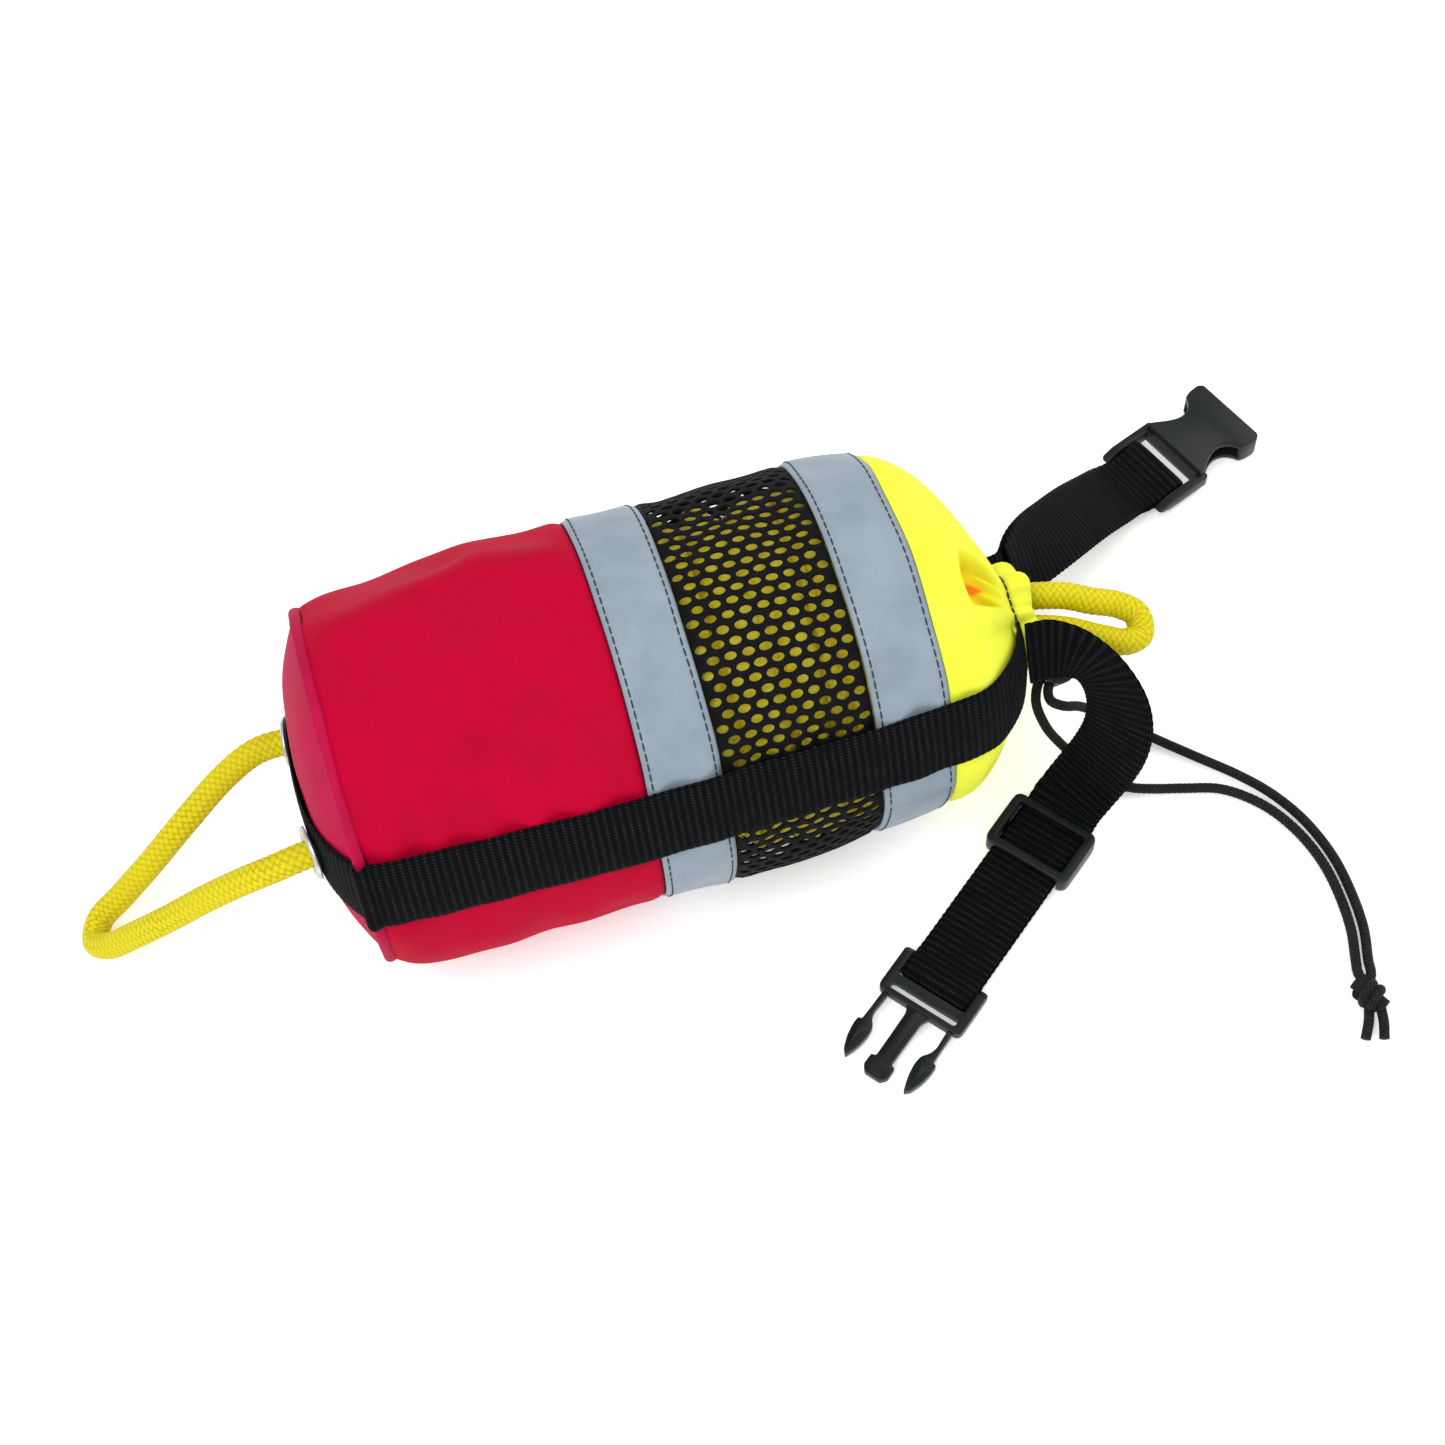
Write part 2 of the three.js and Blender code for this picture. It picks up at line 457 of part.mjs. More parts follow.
// Tri-glide slider: end bars above the two layers of webbing, centre bar below them.
const SLIDER = { halfU: 11.3, halfV: 16.5, rail: 3.3, end: 3, z0: 0.5, z1: 8.3 };
function slider() {
  const { halfU, halfV, rail, end, z0, z1 } = SLIDER;
  const frame = plate(chamfered(-halfU, halfU, -halfV, halfV, 3), z0, z1);
  const layersTop = FIRST_LAYER_Z + LAYER + WEB_T / 2 + 0.55;
  const tunnel = box(-20, 20, -halfV + rail, halfV - rail, z0 - 1, layersTop);
  const window = box(-halfU + end, halfU - end, -halfV + rail, halfV - rail, layersTop - 1, z1 + 1);
  const bar = box(-1.9, 1.9, -halfV + rail - 0.5, halfV - rail + 0.5, z0, FIRST_LAYER_Z - WEB_T / 2 - 0.35);
  const made = join(cut(frame, tunnel, window), bar);
  return placed(made, SLIDER_AT, STRAP_DIR, STRAP_WIDE);
}

const MALE = { back: -2.3, slot0: 11.4, slot1: 14.5, front: 16.6, halfV: 16.5, rail: 3.2, t: 2.1, guide: 44.5 };
const maleAt = strapLine(MALE_S, MALE_Z);
// Two prisms that thin the free rear ends of a buckle's side rails over a length, so that it can tip up.
function tapers(back, t, length) {
  const nose = 0.4, slope = (t - nose) / length;
  const wedge = [[back - 1, nose - slope], [back + length + 1, t + slope], [back - 1, t + slope]];
  const under = wedge.map(([u, w]) => [u, -w]).reverse();
  return [wedge, under].map((outline) => plate(outline, -20, 20).rotateX(Math.PI / 2));
}
function maleFrame() {
  const { back, slot0, slot1, front, halfV, rail, t, guide } = MALE;
  const inner = halfV - rail, loopRoom = MALE_BAR_U + LOOP_R + WEB_T / 2 + 0.4;
  const frame = cut(plate(chamfered(back, front, -halfV, halfV, 2.4), -t, t),
    box(back - 1, loopRoom, -inner, inner, -t - 1, t + 1), box(slot0, slot1, -inner, inner, -t - 1, t + 1),
    ...tapers(back, t, 2.4));
  const prongSide = [[front - 1, 3.1], [38, 3.1], [38, 4.7], [guide - 2, 4.7], [guide, 3]];
  const prong = plate([...prongSide.map(([u, v]) => [u, -v]), ...prongSide.slice().reverse()], -1.5, 1.5);
  const made = join(frame, prong, rod(MALE_BAR_U, -inner - 1, inner + 1, 0, BAR_R));
  return placed(made, maleAt, STRAP_DIR, STRAP_WIDE);
}
function maleArm(side) {
  const root = MALE.front + GAP;
  const half = [[root, 12], [24.5, 12.4], [27, 11.6], [29.6, 9.6], [33, 9.2], [38, 9.9], [43.3, 11.6],
    [41.5, 13.4], [37, 15], [32.5, 15.7], [29.6, 15.6], [29.2, 14.2], [24.5, 14], [root, 13.9]];
  const outline = side > 0 ? half : half.map(([u, v]) => [u, -v]).reverse();
  return placed(plate(outline, -1.7, 1.7), maleAt, STRAP_DIR, STRAP_WIDE);
}

const FEMALE = { back: -3.9, slot: 17.4, neck: 20.5, notch: 38, mouth: 47, halfV: 16.5, t: 5, cavityV: 14.2,
  cavityT: 2.6 };
function femaleBuckle() {
  const { back, slot, neck, notch, mouth, halfV, t, cavityV, cavityT } = FEMALE;
  const tailT = 2.6, rail = 3.2;
  const tail = cut(plate(chamfered(back, neck, -halfV, halfV, 2.2), -tailT, tailT),
    box(back - 1, slot, -halfV + rail, halfV - rail, -t, t), ...tapers(back, tailT, 6.2));
  // Finger notches: the two plates narrow between the neck and the mouth, and the sides are open there.
  const side = [[slot, 15.2], [19.5, 14.6], [22.1, 13], [25.1, 11.2], [28, 9.9], [31, 9.4], [34, 10.2],
    [36.6, 12.4], [notch, 15.4], [40.5, 16.2], [mouth - 2, halfV], [mouth, 15]];
  const shell = plate([...side, ...side.map(([u, v]) => [u, -v]).reverse()], -t, t);
  const hollow = cut(shell, box(neck, mouth + 1, -cavityV, cavityV, -cavityT, cavityT),
    box(neck, notch, -20, 20, -cavityT, cavityT));
  const made = join(tail, hollow, rod(FEMALE_BAR_U, -halfV + 2.2, halfV - 2.2, 0, BAR_R));
  return placed(made, FEMALE_AT.clone(), FEMALE_DIR, FEMALE_WIDE);
}

// ---- assembly -----------------------------------------------------------------------------------
add("base_panel", basePanel(), "red");
add("base_foam_disc", baseFoam(), "foam");
add("base_seam_binding", seamBinding(), "red");
add("lower_body_panel", tube(-103.3, -12.6, FABRIC_T), "red");
add("foam_liner", tube(-100, -13, 4, -FABRIC_T - GAP), "foam");
add("lower_reflective_band", tube(-12.3, 12.3, FABRIC_T), "grey");
add("mesh_window", tube(12.6, 63.6, FABRIC_T), "mesh");
add("upper_reflective_band", tube(63.9, 89, FABRIC_T), "grey");
add("throat_panel", tube(CONE_X, THROAT_X, FABRIC_T, 0, 54, true), "fluoro");
add("throat_hem", throatHem(), "fluoro");
add("side_webbing", sideWebbing(), "webbing");
add("base_grommet_near", grommet(1), "brass");
add("base_grommet_far", grommet(-1), "brass");
add("stuffed_rope", stuffedRope(), "rope");
add("base_stopper_knot", stopperKnot(), "rope");
add("base_rope_loop", cord(toPoints(BASE_LOOP), ROPE_D, 10, 60), "rope");
add("throat_rope_loop", cord(toPoints(THROAT_LOOP), ROPE_D, 10, 44), "rope");
add("drawcord_collar", collar(), "cord");
add("drawcord_strand_a", strand(STRANDS.a), "cord");
add("drawcord_strand_b", strand(STRANDS.b), "cord");
add("drawcord_knot", cordKnot(), "cord");
add("cord_lock_body", lockBody(), "acetal");
add("cord_lock_plunger", lockPlunger(), "acetal");
add("cord_lock_spring", lockSpring(), "steel");
add("male_strap", maleStrap(), "webbing");
add("strap_slider", slider(), "acetal");
add("male_buckle_frame", maleFrame(), "acetal");
add("male_buckle_arm_left", maleArm(-1), "acetal");
add("male_buckle_arm_right", maleArm(1), "acetal");
add("female_strap", femaleStrap(), "webbing");
add("female_buckle_body", femaleBuckle(), "acetal");

export default part;
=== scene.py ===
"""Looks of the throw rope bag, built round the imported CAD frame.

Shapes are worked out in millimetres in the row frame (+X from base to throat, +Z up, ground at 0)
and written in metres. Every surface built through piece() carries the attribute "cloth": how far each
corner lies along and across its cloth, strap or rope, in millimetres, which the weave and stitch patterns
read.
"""

import math
import random

import bmesh
import bpy
import numpy as np
from mathutils import Matrix, Vector, noise


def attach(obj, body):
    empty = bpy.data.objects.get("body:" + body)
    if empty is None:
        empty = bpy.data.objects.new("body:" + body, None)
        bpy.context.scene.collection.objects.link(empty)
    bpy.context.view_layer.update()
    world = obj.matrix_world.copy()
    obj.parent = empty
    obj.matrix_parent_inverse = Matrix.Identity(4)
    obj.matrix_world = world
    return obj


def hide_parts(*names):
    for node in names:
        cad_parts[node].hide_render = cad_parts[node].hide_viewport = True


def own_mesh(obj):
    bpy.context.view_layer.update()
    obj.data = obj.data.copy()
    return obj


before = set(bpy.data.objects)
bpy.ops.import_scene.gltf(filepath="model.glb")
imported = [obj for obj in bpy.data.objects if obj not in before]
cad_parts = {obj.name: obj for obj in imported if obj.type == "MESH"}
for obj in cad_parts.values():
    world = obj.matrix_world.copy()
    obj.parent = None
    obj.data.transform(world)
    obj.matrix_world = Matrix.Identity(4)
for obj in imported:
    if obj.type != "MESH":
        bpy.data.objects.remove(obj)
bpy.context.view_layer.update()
MM = 0.001
rng = random.Random(7)


def unit(v):
    v = np.asarray(v, float)
    return v / np.linalg.norm(v)


# ---- camera, light and floor ---------------------------------------------------------------------
AZIMUTH, ELEVATION, ROLL = math.radians(-13.14), math.radians(59.99), math.radians(-4.2)
DISTANCE, TARGET = 838.22, np.array([22.31, -15.9, 61.0])
LENS, SENSOR = 62.28, 36.0


def make_camera():
    sin_a, cos_a = math.sin(AZIMUTH), math.cos(AZIMUTH)
    back = np.array([sin_a * math.cos(ELEVATION), -cos_a * math.cos(ELEVATION), math.sin(ELEVATION)])
    level = np.array([cos_a, sin_a, 0.0])
    up = np.cross(back, level)
    right = level * math.cos(ROLL) + up * math.sin(ROLL)
    top = up * math.cos(ROLL) - level * math.sin(ROLL)
    data = bpy.data.cameras.new("camera")
    data.sensor_width, data.lens = SENSOR, LENS
    data.clip_start, data.clip_end = 0.05, 20.0
    cam = bpy.data.objects.new("camera", data)
    bpy.context.scene.collection.objects.link(cam)
    place = (TARGET + back * DISTANCE) * MM
    cam.matrix_world = Matrix([[*row, p] for row, p in zip(np.stack([right, top, back], 1).tolist(), place)]
                              + [[0, 0, 0, 1]])
    bpy.context.scene.camera = cam


def area_light(name, at, size, power, look_at=(0.03, -0.02, 0.03)):
    data = bpy.data.lights.new(name, "AREA")
    data.shape, data.size, data.energy = "DISK", size, power
    lamp = bpy.data.objects.new(name, data)
    lamp.location = at
    lamp.rotation_euler = (Vector(look_at) - Vector(at)).to_track_quat("-Z", "Y").to_euler()
    bpy.context.scene.collection.objects.link(lamp)


def make_studio():
    world = bpy.data.worlds.new("studio")
    world.use_nodes = True
    world.node_tree.nodes["Background"].inputs["Color"].default_value = (1, 1, 1, 1)
    world.node_tree.nodes["Background"].inputs["Strength"].default_value = 0.85
    bpy.context.scene.world = world
    bpy.context.scene.view_settings.view_transform = "Standard"
    area_light("key", (-0.55, -0.5, 1.25), 0.9, 11)
    area_light("fill", (0.9, 0.35, 1.0), 1.0, 6)
    data = bpy.data.meshes.new("floor")
    half = 6.0
    data.from_pydata([(-half, -half, 0), (half, -half, 0), (half, half, 0), (-half, half, 0)], [],
                     [(0, 1, 2, 3)])
    floor = bpy.data.objects.new("floor", data)
    floor.location.z = -0.0004
    bpy.context.scene.collection.objects.link(floor)
    paint = bpy.data.materials.new("floor_paper")
    paint.use_nodes = True
    shader = paint.node_tree.nodes["Principled BSDF"]
    shader.inputs["Base Color"].default_value = (0.93, 0.93, 0.93, 1)
    shader.inputs["Roughness"].default_value = 0.9
    shader.inputs["Emission Color"].default_value = (1, 1, 1, 1)
    shader.inputs["Emission Strength"].default_value = 0.3
    data.materials.append(paint)


make_camera()
make_studio()

# ---- driving dimensions, as in the CAD source ------------------------------------------------------
AXIS_Z = 62.0
WEB_W, WEB_T, LAYER, WEB_RIB = 25.4, 1.6, 1.95, 2.6
WEB_ROLL = math.radians(22)
ROPE_D, CORD_D = 9.5, 3.5
WALL_START = -103.3
SKIN = np.array([
    (WALL_START, 60.4), (-96, 62), (-84, 63.2), (-60, 64.2), (-30, 65), (-12.5, 65.1), (0, 64.9),
    (12.5, 64.5), (38, 64.3), (63.7, 63.7), (76, 62.6), (89.3, 60.7), (98, 57.8), (106, 52), (113, 44),
    (118, 36), (122, 27), (124.4, 20.5)])
SEAMS = (-12.5, 12.5, 63.7, 89.2)
CONE_X, THROAT_X, THROAT_Y = 89.3, 124.4, -8.0
BASE_X, BASE_R, DOME = -118.0, 58.5, 13.0
ROPE_HOLE_S = 30.0
BINDING_X, BINDING_R, BINDING_WIDE, BINDING_HIGH = -104.6, 59.3, 1.95, 1.0
CREASES = [  # angle round the throat, depth, width in degrees, where it starts, share left at the hem
    (121, 5, 11, 98, 0.7), (150, 4, 9, 100, 0.8),
    (-12, 5, 10, 98, 0.8), (-44, 5.5, 12, 96, 0.8), (-80, 5, 11, 98, 0.8), (-118, 5.5, 12, 96, 0.8),
    (-146, 4, 10, 99, 0.8), (52, 3.5, 7, 104, 0.9), (176, 3.5, 9, 101, 0.8)]

SLIDER_AT = np.array([121.7, -64.6, 0.0])
STRAP_DIR = unit([-0.788, -0.616, 0])
STRAP_WIDE = unit([0.616, -0.788, 0])
UP = np.array([0.0, 0.0, 1.0])
MALE_S, MALE_Z, MALE_BAR_U = 62.0, 4.45, 4.3
FEMALE_AT = np.array([210.5, 68.3, 5.45])
FEMALE_DIR = np.array([math.cos(math.radians(21)), math.sin(math.radians(21)), 0.0])
FEMALE_WIDE = np.array([FEMALE_DIR[1], -FEMALE_DIR[0], 0.0])
FEMALE_BAR_U = 8.3
LOOP_R = 1.7 + 0.6 + WEB_T / 2
FIRST_LAYER_Z = 2.95
BASE_LOOP = [
    (-91.6, -13.2, 67.3), (-94.4, -20, 70.1), (-98.5, -24.3, 71.9), (-103.5, -25.9, 72.5),
    (-110, -26.9, 72.9), (-116.2, -27.8, 73.2), (-124, -28.9, 73.4), (-132, -28.6, 70.6), (-144, -26, 63),
    (-157, -22.8, 53), (-172, -18.6, 39), (-187, -13.2, 24), (-197.5, -8.2, 12.5),
    (-202.5, -1.6, 6.6), (-199.5, 5.2, 7.8), (-190, 8.4, 14), (-176, 12, 25), (-160, 18.2, 36),
    (-144, 25.2, 44.6), (-132, 28.6, 49.4), (-124, 28.9, 50.6), (-116.2, 27.8, 50.8), (-110, 26.9, 51.1),
    (-103.5, 25.9, 51.5), (-98.5, 24.3, 52.1), (-94.4, 20, 53.9), (-91.6, 13.2, 56.7)]
THROAT_LOOP = [
    (110.5, -14.4, 60.5), (118, -14.2, 61.5), (130.3, -13.6, 62.4), (143.2, -17.6, 62), (155, -22.6, 58.6),
    (163.5, -25, 55.6), (169.6, -23, 54.6), (170.4, -16.8, 57.4), (164.5, -12.8, 60.6), (156, -10.4, 63.4),
    (146.7, -6.4, 65.4), (130.4, -2.6, 65.8), (118, -2.6, 64.6), (110.5, -2.8, 63)]
LOCK_AT = np.array([140.6, -20.5, 43.2])
LOCK_AXIS = unit([0.1, 0.45, -0.887])
LOCK_CORD = np.array([-0.775, -0.517, -0.362])
LOCK_CORD = unit(LOCK_CORD - LOCK_AXIS * (LOCK_CORD @ LOCK_AXIS))
LOCK_SIDE = np.cross(LOCK_AXIS, LOCK_CORD)
STRANDS = {
    "a": (-84, -1, [(138, -5.4, 46), (146, -3.8, 45.4), (152.4, -8.6, 46.2), (151.6, -14.4, 47.2)],
          [(135.9, -29.4, 37.8), (140, -31.6, 35.4), (147, -30.4, 29.4), (158, -30.4, 17), (168.6, -32.8, 6),
           (177, -38.5, 2.2), (187, -48.5, 2), (198.5, -60.2, 2), (206.5, -70.5, 2), (213, -83.5, 2),
           (216.8, -99, 2), (217.3, -113, 2), (215.8, -128, 2), (211.6, -141, 3.4), (210.4, -145.3, 4.4)]),
    "b": (-52, 1, [(138, -12.4, 50.2), (143.2, -9.8, 50.2), (147.8, -11, 49)],
          [(131.4, -27.4, 36.4), (133.4, -32.6, 27.6), (138, -35.6, 18.4), (144.4, -40, 10),
           (152, -47.4, 3.6), (160, -52.8, 2), (168, -56, 2), (178, -59, 2), (190.5, -63.4, 2),
           (201.6, -73.4, 2), (208.6, -85.8, 2), (212.4, -99.8, 2), (213, -112.6, 2), (211.5, -127.2, 2),
           (207.6, -139.6, 3.4), (206.2, -144.3, 4.4)]),
}


# ---- procedural materials --------------------------------------------------------------------------
class Paint:
    """A node material, written as expressions: each method adds a node and returns its output."""

    def __init__(self, name, roughness=0.7, metallic=0.0, **sockets):
        self.material = bpy.data.materials.new(name)
        self.material.use_nodes = True
        self.tree = self.material.node_tree
        self.shader = self.tree.nodes["Principled BSDF"]
        self.shader.inputs["Roughness"].default_value = roughness
        self.shader.inputs["Metallic"].default_value = metallic
        for key, value in sockets.items():
            self.shader.inputs[key.replace("_", " ")].default_value = value
        lay = self.node("ShaderNodeAttribute", attribute_name="cloth")
        self.along, self.across = self.split(lay.outputs["Vector"])
        self.place = self.node("ShaderNodeTexCoord").outputs["Object"]

    def node(self, kind, **settings):
        made = self.tree.nodes.new(kind)
        for key, value in settings.items():
            setattr(made, key, value)
        return made

    def feed(self, made, values):
        for k, value in enumerate(values):
            if isinstance(value, bpy.types.NodeSocket):
                self.tree.links.new(value, made.inputs[k])
            else:
                made.inputs[k].default_value = value
        return made.outputs[0]

    def math(self, operation, *values):
        return self.feed(self.node("ShaderNodeMath", operation=operation), values)

    def split(self, vector):
        made = self.node("ShaderNodeSeparateXYZ")
        self.tree.links.new(vector, made.inputs[0])
        return made.outputs[0], made.outputs[1]

    def join(self, *parts):
        return self.feed(self.node("ShaderNodeCombineXYZ"), parts)

    def noise(self, vector, scale, detail=3.0, rough=0.55):
        made = self.node("ShaderNodeTexNoise")
        self.tree.links.new(vector, made.inputs["Vector"])
        made.inputs["Scale"].default_value = scale
        made.inputs["Detail"].default_value = detail
        made.inputs["Roughness"].default_value = rough
        return made.outputs["Fac"]

    def wave(self, value, pitch, phase=0.0):
        """A smooth ridge every pitch millimetres, from 0 to 1."""
        angle = self.math("MULTIPLY_ADD", value, 2 * math.pi / pitch, phase)
        return self.math("MULTIPLY_ADD", self.math("SINE", angle), 0.5, 0.5)

    def ramp(self, value, *stops):
        made = self.node("ShaderNodeValToRGB")
        self.tree.links.new(value, made.inputs[0])
        elements = made.color_ramp.elements
        while len(elements) < len(stops):
            elements.new(0.5)
        for element, (at, colour) in zip(elements, stops):
            element.position, element.color = at, (*colour, 1)
        return made.outputs[0]

    def mix(self, share, first, second, blend="MIX"):
        made = self.node("ShaderNodeMix", data_type="RGBA", blend_type=blend)
        for socket, value in ((made.inputs[0], share), (made.inputs[6], first), (made.inputs[7], second)):
            if isinstance(value, bpy.types.NodeSocket):
                self.tree.links.new(value, socket)
            else:
                socket.default_value = value if isinstance(value, float) else (*value, 1)
        return made.outputs[2]

    def colour(self, value):
        self.tree.links.new(value, self.shader.inputs["Base Color"])

    def roughness(self, value, low, high):
        spread = self.math("MULTIPLY_ADD", value, high - low, low)
        self.tree.links.new(spread, self.shader.inputs["Roughness"])

    def bump(self, height, distance, strength=1.0):
        """Relief of that height field, distance in millimetres from its lowest to its highest."""
        made = self.node("ShaderNodeBump")
        made.inputs["Strength"].default_value = strength
        made.inputs["Distance"].default_value = distance * MM
        self.tree.links.new(height, made.inputs["Height"])
        if self.shader.inputs["Normal"].links:
            self.tree.links.new(self.shader.inputs["Normal"].links[0].from_socket, made.inputs["Normal"])
        self.tree.links.new(made.outputs[0], self.shader.inputs["Normal"])


def plain_weave(paint, pitch):
    """Over-and-under of two thread families, as a height from 0 to 1."""
    warp, weft = paint.wave(paint.along, pitch), paint.wave(paint.across, pitch)
    return paint.math("ABSOLUTE", paint.math("SUBTRACT", warp, weft))


def pack_cloth(name, shade, deep, worn, gloss):
    paint = Paint(name, 0.6, Specular_IOR_Level=gloss)
    weave = plain_weave(paint, 0.62)
    mottle = paint.noise(paint.place, 55, 4)
    fine = paint.noise(paint.place, 900, 2)
    base = paint.ramp(mottle, (0.3, deep), (0.62, shade))
    base = paint.mix(paint.math("MULTIPLY", fine, 0.10), base, worn)
    paint.colour(paint.mix(paint.math("MULTIPLY", weave, 0.12), base, deep))
    paint.roughness(mottle, 0.6, 0.85)
    paint.bump(weave, 0.05, 0.6)
    paint.bump(paint.noise(paint.place, 210, 4), 0.12, 0.5)
    return paint


def red_cloth():
    return pack_cloth("red_pack_cloth", (0.42, 0.0, 0.024), (0.36, 0.0, 0.018),
                      (0.5, 0.004, 0.045), 0.05).material


def base_cloth():
    return pack_cloth("base_pack_cloth", (0.4, 0.001, 0.045), (0.33, 0.0, 0.034),
                      (0.52, 0.02, 0.1), 0.12).material


def fluoro_cloth():
    paint = pack_cloth("fluoro_cloth", (0.77, 0.80, 0.055), (0.68, 0.73, 0.04), (0.82, 0.84, 0.12), 0.08)
    fold = paint.node("ShaderNodeAttribute", attribute_name="fold").outputs["Fac"]
    plain = paint.shader.inputs["Base Color"].links[0].from_socket
    # Orange tint multiplied in where the fold share is high: painted bounce light and shade deep in the
    # throat's pocket fold.
    painted_fold_light = paint.ramp(fold, (0.0, (1, 1, 1)), (0.5, (1.0, 0.84, 0.3)), (0.75, (1.0, 0.72, 0.2)),
                      (1.0, (1.0, 0.2, 0.1)))
    paint.colour(paint.mix(1.0, plain, painted_fold_light, "MULTIPLY"))
    return paint.material


def reflective_tape():
    paint = Paint("reflective_tape", 0.5, Specular_IOR_Level=0.25)
    grain = paint.noise(paint.place, 1500, 1)
    blotch = paint.noise(paint.place, 70, 4)
    base = paint.ramp(blotch, (0.3, (0.175, 0.225, 0.275)), (0.7, (0.225, 0.28, 0.33)))
    # Lighter specks where the fine grain is high: painted glints of the reflective beads.
    paint.colour(paint.mix(paint.math("MULTIPLY", grain, 0.25), base, (0.3, 0.36, 0.41)))
    paint.roughness(grain, 0.34, 0.6)
    paint.bump(grain, 0.03, 0.5)
    paint.bump(plain_weave(paint, 0.7), 0.03, 0.4)
    return paint.material


def net_yarn():
    paint = Paint("net_yarn", 0.85, Specular_IOR_Level=0.08)
    thread = paint.wave(paint.math("ADD", paint.along, paint.across), 0.55)
    tone = paint.noise(paint.place, 300, 3)
    # Lighter along the raised threads: painted highlight on the near-black yarn, varied by a random tone.
    paint.colour(paint.mix(paint.math("MULTIPLY", thread, tone), (0.0015, 0.0015, 0.002),
                           (0.014, 0.014, 0.017)))
    paint.roughness(tone, 0.6, 0.85)
    paint.bump(thread, 0.12, 0.8)
    return paint.material


def woven_webbing():
    paint = Paint("woven_webbing", 0.8, Specular_IOR_Level=0.06)
    rib = paint.wave(paint.along, WEB_RIB)
    dots = paint.math("POWER", paint.wave(paint.across, 1.06), 1.5)
    float_yarn = paint.math("MULTIPLY", paint.math("POWER", rib, 3.0), dots)
    fuzz = paint.noise(paint.place, 2200, 2)
    tone = paint.math("POWER", paint.noise(paint.place, 160, 4), 1.5)
    # The float yarns of the ribs lighter than the near-black ground: painted highlights on the ribs, varied
    # by fuzz and a random tone.
    lit = paint.math("MULTIPLY", paint.math("MULTIPLY", float_yarn, fuzz), tone)
    paint.colour(paint.mix(lit, (0.0012, 0.0014, 0.002), (0.11, 0.115, 0.135)))
    paint.roughness(fuzz, 0.65, 0.9)
    paint.bump(paint.math("MAXIMUM", float_yarn, paint.math("MULTIPLY", dots, 0.5)), 0.35, 0.9)
    paint.bump(paint.wave(paint.along, WEB_RIB / 2), 0.1, 0.5)
    return paint.material


def braided_rope():
    paint = Paint("braided_rope", 0.6, Specular_IOR_Level=0.2)
    yarn = paint.wave(paint.along, 0.42)
    tone = paint.noise(paint.place, 120, 3)
    ridge = paint.node("ShaderNodeAttribute", attribute_name="fold").outputs["Fac"]
    # Yellow on the raised strands, darker to brown down in the grooves between them: painted shade between
    # the strands.
    lit = paint.ramp(ridge, (0.0, (0.66, 0.57, 0.0)), (0.5, (0.52, 0.43, 0.0)), (1.0, (0.27, 0.2, 0.0)))
    paint.colour(paint.mix(paint.math("MULTIPLY", tone, 0.3), lit, (0.72, 0.64, 0.01)))
    paint.roughness(tone, 0.45, 0.7)
    paint.bump(yarn, 0.06, 0.5)
    return paint.material


def packed_rope():
    paint = Paint("packed_rope", 0.6, Specular_IOR_Level=0.3)
    strand = paint.wave(paint.math("ADD", paint.math("MULTIPLY", paint.along, 1.0), paint.across), 3.2)
    strand2 = paint.wave(paint.math("SUBTRACT", paint.math("MULTIPLY", paint.along, 1.0), paint.across), 3.2)
    braid = paint.math("MAXIMUM", strand, strand2)
    tone = paint.noise(paint.place, 60, 3)
    # Lighter yellow on the raised strands, deeper orange between them: painted shade between the strands,
    # varied by a random tone.
    paint.colour(paint.mix(paint.math("MULTIPLY", braid, tone), (0.9, 0.72, 0.01), (1.0, 0.95, 0.12)))
    paint.bump(braid, 0.4, 0.7)
    return paint.material


def draw_cord():
    paint = Paint("draw_cord", 0.75, Specular_IOR_Level=0.1)
    left = paint.wave(paint.math("ADD", paint.along, paint.across), 1.5)
    right = paint.wave(paint.math("SUBTRACT", paint.along, paint.across), 1.5)
    braid = paint.math("MAXIMUM", left, right)
    tone = paint.noise(paint.place, 500, 3)
    # Lighter on the raised strands of the braid: painted highlight on the near-black cord, varied by a random
    # tone.
    paint.colour(paint.mix(paint.math("MULTIPLY", braid, tone), (0.0015, 0.0015, 0.002),
                           (0.03, 0.031, 0.036)))
    paint.roughness(tone, 0.5, 0.75)
    paint.bump(braid, 0.3, 0.9)
    return paint.material


def moulded_acetal():
    paint = Paint("moulded_acetal", 0.36, Specular_IOR_Level=0.2)
    grain = paint.noise(paint.place, 1800, 2)
    tone = paint.noise(paint.place, 60, 4)
    paint.colour(paint.ramp(tone, (0.3, (0.0035, 0.005, 0.006)), (0.7, (0.007, 0.0095, 0.011))))
    paint.roughness(paint.math("MULTIPLY", grain, paint.math("ADD", tone, 0.5)), 0.26, 0.5)
    paint.bump(grain, 0.04, 0.5)
    return paint.material


def plated_metal(name, shade, roughness):
    paint = Paint(name, roughness, 0.95)
    wear = paint.noise(paint.place, 400, 4)
    paint.colour(paint.ramp(wear, (0.35, tuple(0.7 * c for c in shade)), (0.65, shade)))
    paint.roughness(wear, roughness, roughness + 0.2)
    paint.bump(wear, 0.03, 0.4)
    return paint.material


def cell_foam():
    paint = Paint("cell_foam", 0.85)
    cell = paint.node("ShaderNodeTexVoronoi")
    paint.tree.links.new(paint.place, cell.inputs["Vector"])
    cell.inputs["Scale"].default_value = 900
    # Darker in each cell's sunken middle, where the bump makes pits: painted shade in the pits.
    paint.colour(paint.ramp(cell.outputs["Distance"], (0.0, (0.6, 0.6, 0.57)), (0.8, (0.78, 0.78, 0.75))))
    paint.bump(cell.outputs["Distance"], 0.2, 0.6)
    return paint.material


